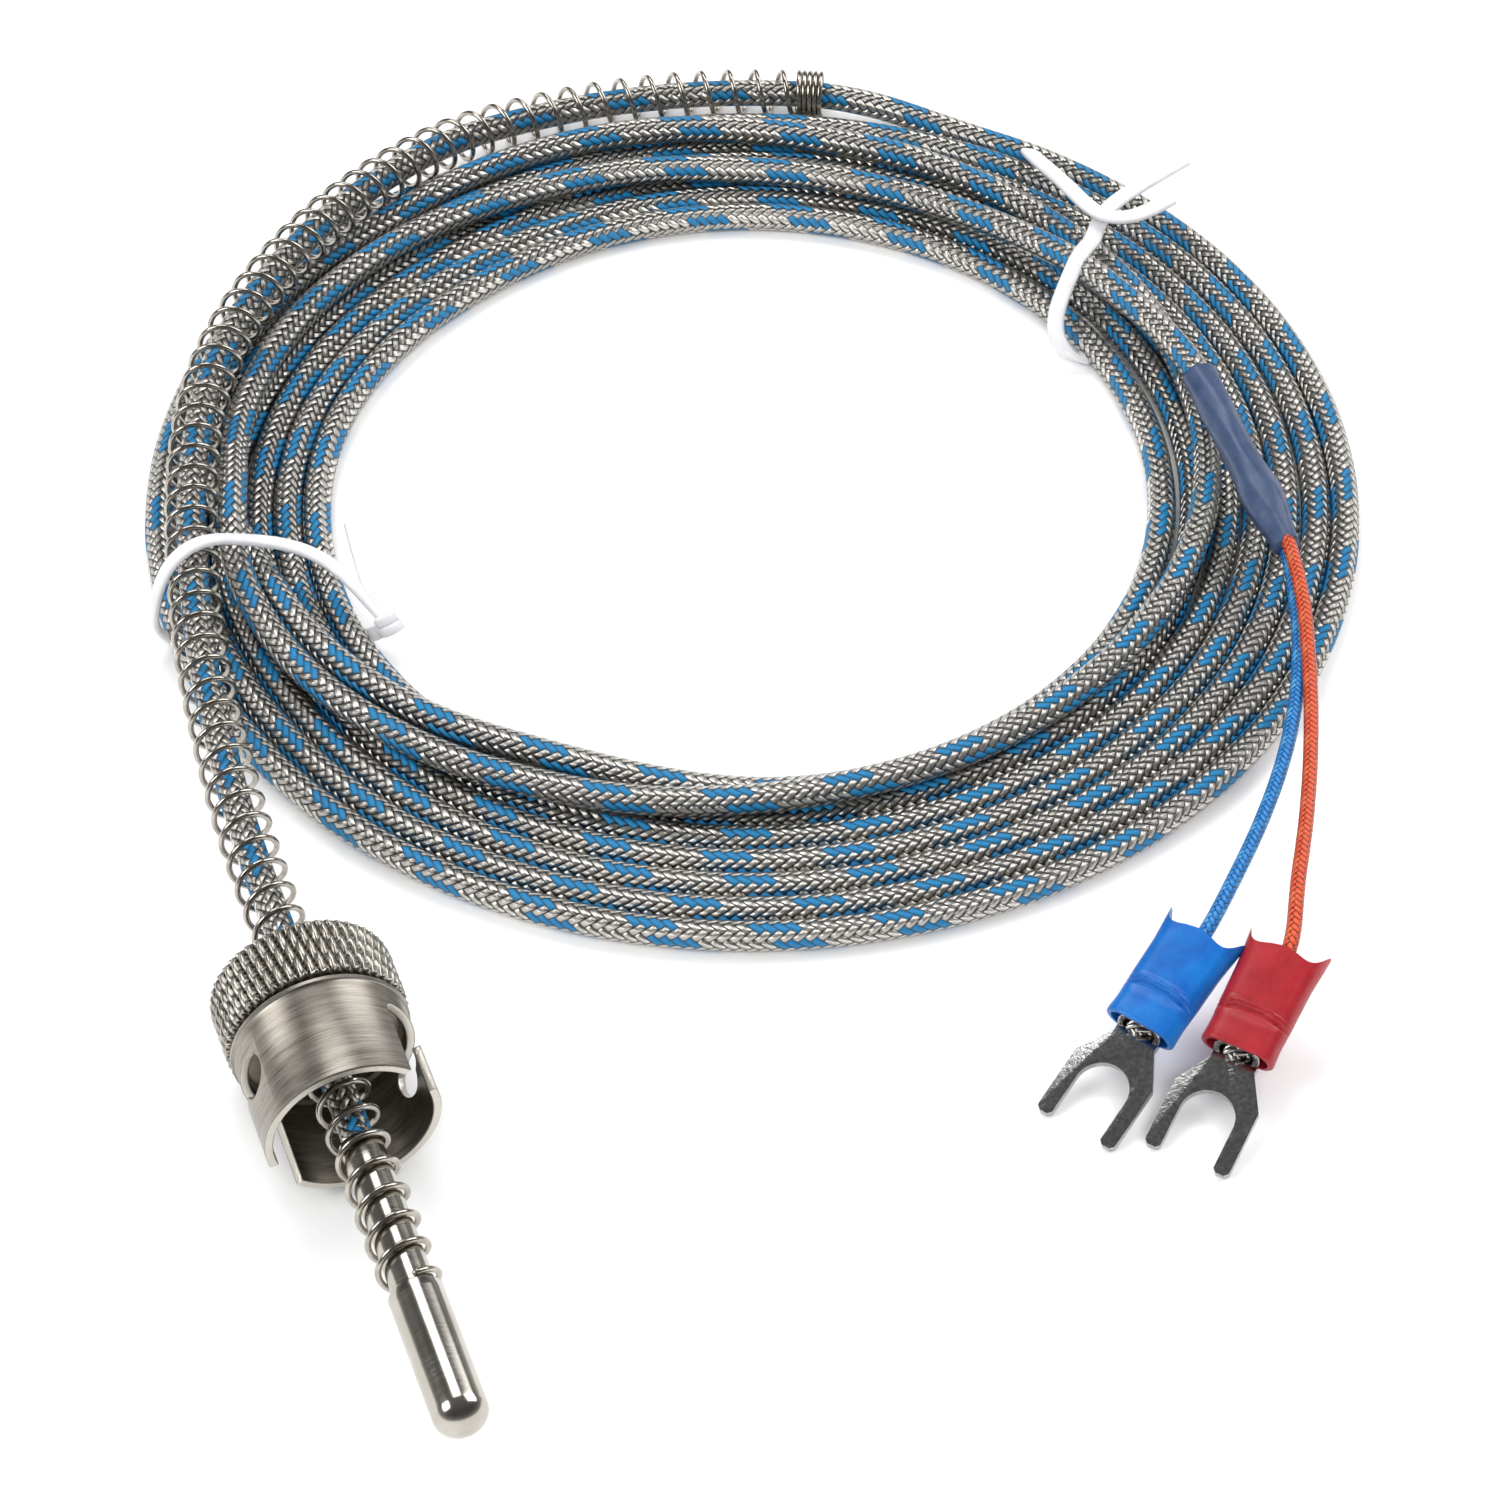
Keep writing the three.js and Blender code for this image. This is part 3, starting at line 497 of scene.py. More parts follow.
def braid(name, strand, tracer, carriers, tracers, metal, depth_mm, wires, family_a_painted_sheen=1.0):
    """A two-over, two-under braid on a tube whose U is its length in leads and V its turn.
    Family A turns one way and family B the other; tracers of family B have the second colour. Each float
    darkens towards its edges and ends into a dark gap colour, and the yarn darkens between its threads; both
    are painted shade.
    The last factor sets how bright family A is painted beside family B: painted sheen, for the two families'
    wires reflecting the light differently."""
    n = Nodes(name)
    u, v = n.split(n.coordinates("UV"))[:2]
    a, b = n.times(n.minus(u, v), float(carriers)), n.times(n.plus(u, v), float(carriers))
    i, j = n.math("FLOOR", a), n.math("FLOOR", b)
    a_on_top = n.math("LESS_THAN", n.wrapped(n.minus(i, j), 4), 1.5)
    ride_a = n.times(n.wrapped(n.minus(b, n.minus(i, 1.0)), 4), 0.5)
    ride_b = n.times(n.wrapped(n.minus(a, n.plus(j, 2.0)), 4), 0.5)
    across = n.between(a_on_top, n.math("FRACT", b), n.math("FRACT", a))
    ride = n.between(a_on_top, ride_b, ride_a)
    edge = n.math("ABSOLUTE", n.minus(n.times(across, 2.0), 1.0))
    crown = n.minus(1.0, n.math("POWER", edge, 2.2))
    arch = n.math("POWER", n.math("SINE", n.times(ride, math.pi), clamp=True), 0.7)
    lump = n.times(crown, arch)
    wire = n.math("SINE", n.times(across, math.pi * wires))
    strands = n.times(n.math("ABSOLUTE", wire), 0.14)
    tracer_here = n.math("LESS_THAN", n.wrapped(j, carriers), float(tracers) - 0.5)
    tracer_here = n.times(tracer_here, n.minus(1.0, a_on_top))
    bright = n.tones(n.noise(n.coordinates(), 700.0, 2.0), scaled(strand, 0.82), strand)
    # Family A's colour is scaled by the last factor: a painted difference in sheen between the two families.
    bright = n.mix(a_on_top, bright, scaled(strand, family_a_painted_sheen))
    # The yarn's colour darkens between its threads: painted shade in the grooves.
    threads = n.tones(strands, scaled(tracer, 0.55), tracer, 0.0, 0.14)
    # The gap colour is painted shade: nearly black steel, or darkened tracer yarn, where floats dive under
    # and at their edges.
    gap = n.mix(tracer_here, scaled(strand, 0.08), scaled(tracer, 0.35))
    shade = n.remap(lump, 0.0, 0.5, kind="SMOOTHSTEP")
    n.set(
        Base_Color=n.mix(shade, gap, n.mix(tracer_here, bright, threads)),
        Metallic=n.times(n.minus(1.0, tracer_here), metal),
        Roughness=n.plus(n.times(tracer_here, 0.20), 0.30),
        Normal=n.bump(n.plus(lump, n.times(strands, lump)), depth_mm, 1.0),
    )
    return n.material


def vinyl(name, dark, light):
    return grained(
        name, dark, light, (330.0, 4.0, 0.6), (2500.0, 2.0), (0.30, 0.44), 0.05, 0.5, share=0.12,
        Subsurface_Weight=0.12, Subsurface_Scale=0.0006, Specular_IOR_Level=0.45,
    )


def tinned_plate():
    """Tin plate, bright, with pits and light scratches from handling."""
    n = Nodes("tinned_plate")
    pits = n.noise(n.coordinates(), 2300.0, 3.0, 0.65)
    x, y, z = n.split(n.coordinates())[:3]
    scratch = n.noise(n.join(n.times(x, 400.0), n.times(y, 3200.0), n.times(z, 900.0)), 1.0, 3.0)
    n.set(
        Base_Color=n.tones(pits, (0.34, 0.34, 0.335), (0.56, 0.56, 0.55), 0.35),
        Metallic=1.0,
        Roughness=n.remap(scratch, 0.3, 0.7, 0.10, 0.22),
        Normal=n.bump(n.plus(n.times(pits, 0.7), n.times(scratch, 0.3)), 0.035, 0.8),
    )
    return n.material


def bare_strands():
    n = Nodes("bare_strands")
    n.set(
        Base_Color=n.mix(n.noise(n.coordinates(), 3000.0), (0.40, 0.38, 0.35), (0.72, 0.70, 0.66)),
        Metallic=1.0,
        Roughness=0.22,
    )
    return n.material


def inner_stuff(name, dark, light, metal, rough, scale):
    """Ceramic, glass fibre or alloy inside the probe."""
    grain = (scale, 3.0, 0.6)
    return grained(name, dark, light, grain, grain, (rough, rough + 0.12), 0.03, 0.5, Metallic=metal)


BRAID_LEAD = 11.8
LEAD_BRAID_LEAD = 4.2
# The steel braid paints family A at 0.66 of family B's brightness as painted sheen.
STEEL_BRAID = braid("steel_braid", (0.82, 0.79, 0.735), (0.012, 0.22, 0.48), 10, 4, 1.0, 0.24, 4, 0.66)
RED_BRAID = braid("red_braid", (0.66, 0.075, 0.018), (0.72, 0.13, 0.04), 6, 2, 0.0, 0.10, 3)
BLUE_BRAID = braid("blue_braid", (0.014, 0.20, 0.56), (0.06, 0.32, 0.66), 6, 2, 0.0, 0.10, 3)
POLISHED, BRUSHED, KNURLED = polished_steel(), brushed_nickel(), knurled_nickel()
TINNED, STRANDS = tinned_plate(), bare_strands()
WIRE = grained(
    "spring_wire", (0.34, 0.31, 0.27), (0.52, 0.49, 0.44), (900.0, 3.0, 0.6), (5200.0, 2.0),
    (0.12, 0.26), 0.006, 0.4, low=0.35, Metallic=1.0,
)
SHRINK = grained(
    "shrink_tube", (0.030, 0.052, 0.115), (0.052, 0.080, 0.160), (420.0, 3.0, 0.55), (2400.0, 2.0),
    (0.30, 0.42), 0.06, 0.4, share=0.05, low=0.35, Specular_IOR_Level=0.4,
)
TIE = grained(
    "tie_plastic", (0.66, 0.66, 0.68), (0.74, 0.74, 0.75), (600.0, 3.0), (600.0, 3.0),
    (0.32, 0.42), 0.03, 0.4, Subsurface_Weight=0.15, Subsurface_Scale=0.0005,
)
RED_VINYL = vinyl("red_vinyl", (0.27, 0.010, 0.016), (0.36, 0.018, 0.026))
BLUE_VINYL = vinyl("blue_vinyl", (0.0, 0.080, 0.36), (0.004, 0.15, 0.50))


def finish(obj, material, body="base"):
    obj.data.materials.clear()
    obj.data.materials.append(material)
    if body:
        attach(obj, body)
    return obj


# ---- Camera
def make_camera():
    data = bpy.data.cameras.new("camera")
    data.lens, data.sensor_width = 97.7, 36.0
    data.clip_start, data.clip_end = 0.01, 20
    camera = link("camera", data)
    place, target = Vector((-43.0, -213.4, 297.0)) * MM, Vector((51.7, 46.85, 0)) * MM
    camera.location = place
    camera.rotation_euler = (target - place).to_track_quat("-Z", "Y").to_euler()
    bpy.context.scene.camera = camera


make_camera()


# ---- Cable
STEPS_A_TURN = 120
COIL_START_ANGLE = 42
COIL_STEPS = 969
SETTLING_PASSES, CALM_AFTER = 1400, 1100
SECOND_LAYER_TURN, SECOND_LAYER_Z = 6.45, 4.3
# The coil's radius after so many turns, from where the spring's end runs into it to the tail on top.
# Its first turn bulges out past the spring-wrapped stretch before it tucks in under it.
TURN_RADII = [
    (0, 64.4), (0.06, 63.9), (0.11, 63.5), (0.17, 62.0), (0.35, 61.4), (0.58, 60.4), (0.64, 60.8),
    (0.68, 62.2), (0.71, 64.2), (0.745, 62.9), (0.79, 61.4), (0.84, 61.2), (0.92, 62.3), (1.0, 61.3),
    (1.08, 60.7), (1.2, 59.0), (1.5, 58), (1.85, 57.6), (1.93, 57.9), (2.0, 58.1), (2.08, 57.5),
    (2.2, 56), (2.5, 55.2), (2.85, 54.6), (3.0, 54.9), (3.2, 53.1), (3.5, 52.2), (3.85, 51.5),
    (4.0, 51.8), (4.2, 50.2), (4.5, 49), (4.85, 48.2), (5.0, 48.7), (5.2, 47.4), (5.5, 47.2),
    (5.85, 46.6), (6.0, 45.0), (6.1, 43.8), (6.25, 43.1), (6.42, 43.1), (6.5, 46), (6.6, 53),
    (6.68, 58.5), (6.78, 60), (6.86, 58.5), (6.95, 55), (7.05, 51), (7.2, 46), (7.42, 46), (7.5, 49.5),
    (7.6, 56), (7.66, 57), (7.74, 56.5), (7.88, 52), (8.1, 47),
]


def turn_wander(turns):
    """How far each turn strays from its radius, smoothly along the cable."""
    wander = np.zeros(len(turns))
    for wave, size in ((0.53, 0.5), (0.91, 0.45), (1.37, 0.4), (2.21, 0.3)):
        wander += size * np.sin(2 * np.pi * (wave * turns + RNG.random()))
    return wander


def settle_coil(start, end, spring):
    """The coil's turns as radius and height at every step, settled so that none lies in another."""
    k = np.arange(COIL_STEPS + 1)
    turns = k / STEPS_A_TURN
    radii = np.interp(turns, *np.array(TURN_RADII).T)
    wanted = radii + turn_wander(turns) * np.clip((turns - 1) / 2, 0, 1)
    p = np.stack([wanted, np.where(turns < SECOND_LAYER_TURN, CABLE_R, SECOND_LAYER_Z)], axis=1)
    blend = 14
    ease = np.clip(k / blend, 0, 1)[:, None]
    p = p * ease + np.array(start) * (1 - ease)
    ease = np.clip((COIL_STEPS - k) / (2 * blend), 0, 1)[:, None]
    p = p * ease + np.array(end) * (1 - ease)
    wanted = p[:, 0].copy()
    fixed = (k < 2) | (k > COIL_STEPS - 2)
    home = p[fixed].copy()
    layers = COIL_STEPS // STEPS_A_TURN
    spring_at = spring[k % STEPS_A_TURN]
    for pass_number in range(SETTLING_PASSES):
        calm = pass_number > CALM_AFTER
        pull = 0 if calm else np.where(turns < 1.1, 0.25, 0.10)
        p[:, 1] -= 0.03 * (0.2 if calm else 1)
        p[:, 0] += pull * (wanted - p[:, 0])
        middle = 0.5 * (p[:-2] + p[2:])
        p[1:-1] += 0.35 * (middle - p[1:-1])
        for gap in range(1, layers + 1):
            shift = gap * STEPS_A_TURN
            a, b = p[:-shift], p[shift:]
            apart = b - a
            distance = np.maximum(np.linalg.norm(apart, axis=1), 1e-3)
            push = np.clip(2 * CABLE_R + 0.04 - distance, 0, None) * 0.5 / distance
            move = apart * push[:, None]
            lower_held = np.clip((a[:, 1] - CABLE_R) * 4, 0.15, 1)[:, None]
            p[shift:] += move
            p[:-shift] -= move * np.concatenate([np.ones_like(lower_held), lower_held], axis=1)
        apart = p - spring_at
        distance = np.maximum(np.linalg.norm(apart, axis=1), 1e-3)
        push = np.clip(SPRING_R + WIRE_R + CABLE_R + 0.05 - distance, 0, None) / distance
        p += apart * push[:, None]
        p[:, 1] = np.maximum(p[:, 1], CABLE_R)
        p[fixed] = home
    return p


def polar(points):
    flat = points[:, :2] - COIL_CENTRE
    return np.degrees(np.arctan2(flat[:, 1], flat[:, 0])), np.linalg.norm(flat, axis=1)


def spring_over_coil(route):
    """Where the spring runs, as radius and height at each step of a turn, or far away."""
    angle, radius = polar(route)
    far = np.tile([[200.0, 200.0]], (STEPS_A_TURN, 1))
    over = (angle > 55) & (angle < 179)
    for step in range(STEPS_A_TURN):
        wanted = (COIL_START_ANGLE - 360 * step / STEPS_A_TURN + 180) % 360 - 180
        if 62 < wanted < 178:
            nearest = np.argmin(np.where(over, np.abs(angle - wanted), 1e3))
            far[step] = radius[nearest], route[nearest, 2]
    return far


def cable_path():
    route = smooth_route(CABLE_ROUTE)
    tail = smooth_route(TAIL_ROUTE)
    spring = spring_over_coil(route)
    start_r, end_r = polar(route[-1:])[1][0], polar(tail[:1])[1][0]
    coil = settle_coil((start_r, route[-1, 2]), (end_r, tail[0, 2]), spring)
    angle = np.radians(COIL_START_ANGLE - 360 * np.arange(COIL_STEPS + 1) / STEPS_A_TURN)
    xy = COIL_CENTRE + coil[:, 0:1] * np.stack([np.cos(angle), np.sin(angle)], axis=1)
    coil_xyz = np.column_stack([xy, coil[:, 1]])
    behind_neck = NECK_END_Y + 0.3 - CABLE_ROUTE[0][1]
    run = route[lengths(route) >= behind_neck]
    whole = resample(np.vstack([run, coil_xyz[1:-1], tail]), 0.5)
    soft = soften(whole, 3.5)
    soft[:12], soft[-12:] = whole[:12], whole[-12:]
    soft[:, 2] = np.maximum(soft[:, 2], CABLE_R)
    return resample(soft, 0.5)


CABLE = cable_path()
cable = sweep("braided_cable", CABLE, CABLE_R, 16, uv_length=BRAID_LEAD)
finish(cable, STEEL_BRAID)
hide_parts("cable_run", "cable_coil", "cable_tail")


# ---- Spring
def spring_coil(points_along, turn_angle, along_route):
    """Points on the spring's helix, at these lengths along the route and these turns round it."""
    ahead = at_lengths(along_route, points_along + 0.05)
    behind = at_lengths(along_route, np.maximum(points_along - 0.05, 0))
    along = unit(ahead - behind)
    side = unit(np.cross(along, (0, 0, 1.0)))
    upward = np.cross(side, along)
    rise, across = np.cos(turn_angle)[:, None], np.sin(turn_angle)[:, None]
    return at_lengths(along_route, points_along) + SPRING_R * (rise * upward + across * side)


def make_spring():
    route = smooth_route(CABLE_ROUTE)
    closed = SPRING_END_TURNS * SPRING_END_PITCH
    open_turns = (SPRING_LENGTH - closed - SPRING_START) / SPRING_PITCH
    turns = np.arange(0, open_turns + SPRING_END_TURNS, 1 / 40)
    distance = SPRING_START + turns * SPRING_PITCH
    past_open = np.clip(turns - open_turns, 0, None)
    distance -= past_open * (SPRING_PITCH - SPRING_END_PITCH)
    # The first turn lies almost flat on the probe's shoulder.
    distance -= 0.3 * np.clip(1 - turns, 0, 1) ** 2
    made = sweep_wire("spring", spring_coil(distance, 2 * np.pi * turns, route), WIRE_R)
    finish(made, WIRE, body=None)
    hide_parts("spring_below_cap", "spring_turns_in_cap", "spring_behind_cap", "spring_closed_end")
    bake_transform(made)


def sweep_wire(name, points, radius, sides=10):
    """A tube along a helix, with frames carried along it and rounded-off ends."""
    along = directions(points)
    normal = np.zeros_like(along)
    guess = np.cross(along[0], (0.3, 0.9, 0.2))
    for i, direction in enumerate(along):
        guess = unit(guess - direction * np.dot(guess, direction))
        normal[i] = guess
    scale = np.full(len(points), radius)
    scale[[0, -1]] *= 0.75
    return capped(name, rings_along(points, circle(sides), normal, np.cross(along, normal), scale))


make_spring()


# ---- Probe
def make_probe():
    edge, dome = 0.18, 2.1
    profile = []
    for angle in np.linspace(0, math.pi / 2, 21):
        profile.append((TIP_R * math.sin(angle) ** 0.9, TIP_Y + dome * (1 - math.cos(angle))))
    profile += [
        (TIP_R, TIP_Y + dome + 0.4), (TIP_R, SHOULDER_Y - 1.0), (TIP_R, SHOULDER_Y - edge),
        (TIP_R - 0.3 * edge, SHOULDER_Y - 0.3 * edge), (TIP_R - edge, SHOULDER_Y),
        (NECK_R + 0.1, SHOULDER_Y), (NECK_R, SHOULDER_Y + 0.1),
    ]
    profile += [(NECK_R, y) for y in np.linspace(SHOULDER_Y + 0.5, NECK_END_Y - 0.5, 8)]
    profile += [
        (NECK_R, NECK_END_Y - 0.1), (NECK_R - 0.1, NECK_END_Y), (BORE_R + 0.05, NECK_END_Y),
        (BORE_R, NECK_END_Y - 0.05), (BORE_R, NECK_END_Y - 1.5), (BORE_R, TIP_Y + 3.4), (0, TIP_Y + 2.6),
    ]
    probe = turned("probe_tube", profile, 128)
    tidy_mesh(probe)
    smooth_by_angle(probe, 32)
    finish(probe, POLISHED, "probe")
    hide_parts("probe_sheath")


make_probe()


# ---- Bayonet cap
KNURLS_ROUND = 52
KNURL_LEAN = 0.17  # ridges crossed in each millimetre along the axis
NOTCH_LEAN = 0.40
KNURL_DEPTH = 0.5


def knurl_height(turn, y):
    """Slanting ridges, each notched across into a row of rounded bumps."""
    round_count = turn / (2 * np.pi) * KNURLS_ROUND
    across = np.abs(((round_count + KNURL_LEAN * y) % 1) - 0.5) * 2
    notch = np.abs(((round_count - NOTCH_LEAN * y) % 1) - 0.5) * 2
    ridge = np.sin(np.pi / 2 * np.clip(1.15 * (1 - across), 0, 1))
    return ridge * (0.52 + 0.48 * np.sin(np.pi / 2 * (1 - notch)))


def make_head():
    sides = KNURLS_ROUND * 10
    turn = 2 * np.pi * np.arange(sides) / sides
    front, back = HEAD_FRONT_Y + 0.3, HEAD_BACK_Y
    valley = HEAD_R - KNURL_DEPTH
    rows = [(HEAD_BORE_R, front), (valley - 0.4, front), (valley - 0.3, front)]
    rim, chamfer = 0.28, 0.14
    ys = np.linspace(front + 0.1, back - 0.1, 66)
    fade = np.clip((ys - ys[0]) / rim, 0, 1) * np.clip((ys[-1] - ys) / rim, 0, 1)
    for y, f in zip(ys, fade):
        knurl = KNURL_DEPTH * knurl_height(turn, y - front) * (0.5 + 0.5 * f)
        rows.append((valley + knurl - chamfer * (1 - f), y))
    rows += [
        (valley - 0.5, back), (valley - 0.9, back), (HEAD_BORE_R + 0.6, back),
        (HEAD_BORE_R + 0.08, back - 0.45), (HEAD_BORE_R, back - 0.6),
    ]
    head = turned("knurled_head", rows, sides, closed=True)
    tidy_mesh(head)
    smooth_by_angle(head, 48)
    finish(head, KNURLED, "cap")
    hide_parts("cap_knurled_head")


def arc(x, y, radius, start, end, steps):
    """Points on an arc round (x, y), from one angle to another."""
    angles = np.linspace(start, end, steps + 1)
    return [(x + radius * math.cos(a), y + radius * math.sin(a)) for a in angles]


def row(start, end, y, steps):
    """Points on a straight stretch, without its two ends."""
    return [(x, y) for x in np.linspace(start, end, steps + 1)[1:-1]]


def slot_cutter(turn_degrees):
    """One J-shaped slot, drawn flat as (distance round the shell, y), then wrapped and thickened."""
    half, corner = SLOT_WIDTH / 2, 0.5
    far = HEAD_FRONT_Y - SLOT_TOP
    near = far - SLOT_LEG_WIDTH
    pocket_x = math.radians(SLOT_TURN) * SHELL_R
    pocket_y = far - SLOT_POCKET_R
    quarter = math.pi / 2
    outline = [(-half, MOUTH_Y - 1), *arc(1 - half, far - 1, 1, math.pi, quarter, 6)]
    outline += row(1 - half, pocket_x, far, 24)
    end = -math.pi + math.asin((pocket_y - near) / SLOT_POCKET_R)
    outline += arc(pocket_x, pocket_y, SLOT_POCKET_R, quarter, end, 36)
    outline += row(outline[-1][0], half + corner, near, 12)
    outline += arc(half + corner, near - corner, corner, quarter, math.pi, 6)
    outline.append((half, MOUTH_Y - 1))
    x, y = np.array(outline).T
    angle = math.radians(SLOT_ENTRY_ANGLE + turn_degrees) + x / SHELL_R
    rings = [
        np.stack([radius * np.sin(angle), y, AXIS_Z + radius * np.cos(angle)], axis=1)
        for radius in (SHELL_R - 2.4, SHELL_R * 1.6)
    ]
    return capped("slot_cutter", np.array(rings), cut_caps=True)


def make_shell():
    inner = SHELL_R - SHELL_WALL
    floor = HEAD_FRONT_Y - 1.2
    profile = [
        (HEAD_BORE_R, floor), (inner - 0.3, floor), (inner, floor - 0.3), (inner, MOUTH_Y + 0.06),
        (inner + 0.06, MOUTH_Y), (SHELL_R - 0.12, MOUTH_Y), (SHELL_R, MOUTH_Y + 0.12),
        (SHELL_R, HEAD_FRONT_Y - 0.75), (SHELL_R + 0.08, HEAD_FRONT_Y - 0.55),
        (LIP_R - 0.05, HEAD_FRONT_Y - 0.5), (LIP_R, HEAD_FRONT_Y - 0.42), (LIP_R, HEAD_FRONT_Y - 0.08),
        (LIP_R - 0.08, HEAD_FRONT_Y), (HEAD_BORE_R, HEAD_FRONT_Y),
    ]
    shell = turned("bayonet_shell", profile, 192, closed=True)
    tidy_mesh(shell)
    for turn in (0, 180):
        combine(shell, slot_cutter(turn), "DIFFERENCE")
    tidy_mesh(shell)
    round_edges(shell, 0.07, 2)
    smooth_by_angle(shell, 28)
    finish(shell, BRUSHED, "cap")
    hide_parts("cap_bayonet_shell")


make_head()
make_shell()


# ---- Sleeve and leads
def make_shrink():
    """The sleeve: a lip at the cable's end, a bulge over the joint and a neck round the leads."""
    start, end = np.array(SHRINK_START), np.array(SHRINK_END)
    count, sides = 90, 40
    t = np.linspace(0, 1, count)
    points = start + (end - start) * t[:, None]
    body = 1.80 + 0.12 * bell(t, 0.02, 0.03) + 0.05 * np.sin(9 * t) * np.sin(4 * t + 1)
    body += 0.42 * bell(t, 0.72, 0.13) - 0.38 * np.clip((t - 0.84) / 0.16, 0, 1) ** 0.8
    outer = sweep("heat_shrink", points, body, sides)
    data = outer.data
    co = np.zeros(len(data.vertices) * 3)
    data.vertices.foreach_get("co", co)
    co = co.reshape(-1, 3)
    axis = unit(end - start)
    ring = np.arange(count * sides) // sides
    centre = points[ring] * MM
    outward = co[: len(ring)] - centre
    angle = np.arctan2(outward[:, 2], outward @ np.cross(axis, (0, 0, 1)))
    wrinkle = 0.030 * np.sin(3 * angle + 9 * t[ring]) + 0.018 * np.sin(7 * angle - 16 * t[ring])
    co[: len(ring)] = centre + outward * (1 + wrinkle[:, None])
    data.vertices.foreach_set("co", co.ravel())
    finish(outer, SHRINK)
    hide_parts("heat_shrink_sleeve")
    return outer


def terminal_matrix(place):
    turn = Matrix.Rotation(math.radians(place["heading"]), 4, "Z")
    tilt = Matrix.Rotation(-math.radians(TERMINAL_TILT), 4, "Y")
    return Matrix.Translation((*place["tip"], 0.05)) @ turn @ tilt


def on_terminal(place, x, y=0.0, z=BARREL_HEIGHT / 2):
    return tuple(terminal_matrix(place) @ Vector((x, y, z)))


def finish_on_terminal(obj, place, material, node):
    """Moves a piece made in its terminal's own frame to its place, and finishes it."""
    matrix = terminal_matrix(place)
    matrix.translation *= MM
    obj.data.transform(matrix)
    finish(obj, material)
    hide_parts(node)
    return obj


def make_lead(name, route, place, material, node):
    into = [on_terminal(place, x) for x in (TERMINAL_LENGTH + 1, TERMINAL_LENGTH - 2, LEAD_END_X)]
    points = resample(smooth_route([*route, *into]), 0.25)
    lead = sweep(name, points, LEAD_R, 16, uv_length=LEAD_BRAID_LEAD)
    finish(lead, material)
    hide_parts(node)
    return lead, points


shrink = make_shrink()
red_lead, RED_POINTS = make_lead("red_lead", RED_ROUTE, RED_PLACE, RED_BRAID, "lead_red")
blue_lead, BLUE_POINTS = make_lead("blue_lead", BLUE_ROUTE, BLUE_PLACE, BLUE_BRAID, "lead_blue")


# ---- Fork terminals
FORK_WIDTH, FORK_GAP, FORK_GAP_DEPTH, FORK_NECK_WIDTH, FORK_THICKNESS = 8.4, 5.3, 7.2, 4.4, 0.8
MOUTH_SLOPE = 0.42  # the barrel's mouth is cut back towards its top
SLEEVE_FRONT_X, SLEEVE_CREASE = TERMINAL_LENGTH - SLEEVE_LENGTH, 3.5


def fork_outline():
    half, gap = FORK_WIDTH / 2, FORK_GAP / 2
    cheek = FORK_GAP_DEPTH - 0.4
    neck = BARREL_FRONT_X + 0.6
    side = [
        (0, gap + 0.35), (0, half - 0.4), (0.35, half - 0.03), (0.6, half), (cheek, half),
        (neck - 0.9, FORK_NECK_WIDTH / 2), (neck + 2, FORK_NECK_WIDTH / 2),
    ]
    prong = [(0.35, gap), (1.2, gap)]
    throat = arc(FORK_GAP_DEPTH - gap, 0, gap, -math.pi / 2, math.pi / 2, 24)
    other_side = [(x, -y) for x, y in reversed(side)]
    return side + other_side + [(x, -y) for x, y in prong] + throat + prong[::-1]


def stadium_ring(width, height, middle, count=48):
    """Points round a flat tube's section, as (y, z)."""
    radius = height / 2
    reach = max(width / 2 - radius, 0)
    turn = 2 * np.pi * np.arange(count) / count
    c, s = np.cos(turn), np.sin(turn)
    y = reach * np.tanh(6 * c) / np.tanh(6) + radius * c
    return np.stack([y, middle + radius * s], axis=1)


def loft(name, rings):
    """Joins rings of points, each [(x, y, z), ...], into a closed band: the last joins the first."""
    rings = np.array(rings)
    rows, columns = rings.shape[:2]
    made = add_object(name, rings.reshape(-1, 3), grid_faces(rows, columns, wrap_rows=True).tolist())
    tidy_mesh(made)
    return made


def sloped(ring, x, slope):
    """A flat ring placed across a terminal at x, leaning by so much for each millimetre up."""
    return [(x + slope * z, y, z) for y, z in ring]


def terminal_barrel():
    front, end, middle, edge = BARREL_FRONT_X, BARREL_FRONT_X + BARREL_LENGTH, BARREL_HEIGHT / 2, 0.12
    outer, rounded = (
        stadium_ring(BARREL_WIDTH - less, BARREL_HEIGHT - less, middle) for less in (0, edge)
    )
    inner = stadium_ring(3.5, 1.6, middle)
    return loft("barrel", [
        sloped(rounded, front, MOUTH_SLOPE), sloped(outer, front + edge, MOUTH_SLOPE),
        sloped(outer, end - edge, 0), sloped(rounded, end, 0),
        sloped(inner, end, 0), sloped(inner, front, MOUTH_SLOPE),
    ])


def terminal_fork(colour, place):
    rings = np.array([[(x, y, z) for x, y in fork_outline()] for z in (0, FORK_THICKNESS)])
    plate = capped(f"{colour}_fork", rings)
    combine(plate, terminal_barrel(), "UNION")
    round_edges(plate, 0.10, 3)
    smooth_by_angle(plate, 35)
    return finish_on_terminal(plate, place, TINNED, f"{colour}_terminal_fork")


def rear_flare(side, t):
    """How far back the sleeve's wire end runs: two pointed ears, with a low rise over the wire."""
    s = min(1, abs(side))
    edge = 1.15 * s**6 - 2.6 * (s * s * (1 - s * s)) + 0.1
    return edge * max(0, (t - 0.82) / 0.18) ** 1.5


def crimp_dent(x, side, upper):
    """How far the sleeve is pressed in, across the curved crease and the ridges behind it."""
    crease_at = SLEEVE_FRONT_X + SLEEVE_CREASE + 0.30 * math.cos(side * 2.2)
    dent = 0.34 * bell(x, crease_at, 0.2) - 0.26 * bell(x, crease_at + 0.45, 0.2)
    dent += 0.16 * bell(x, crease_at + 0.85, 0.2)
    return dent * (1 if upper else 0.4) * max(0, 1 - abs(side) ** 6)


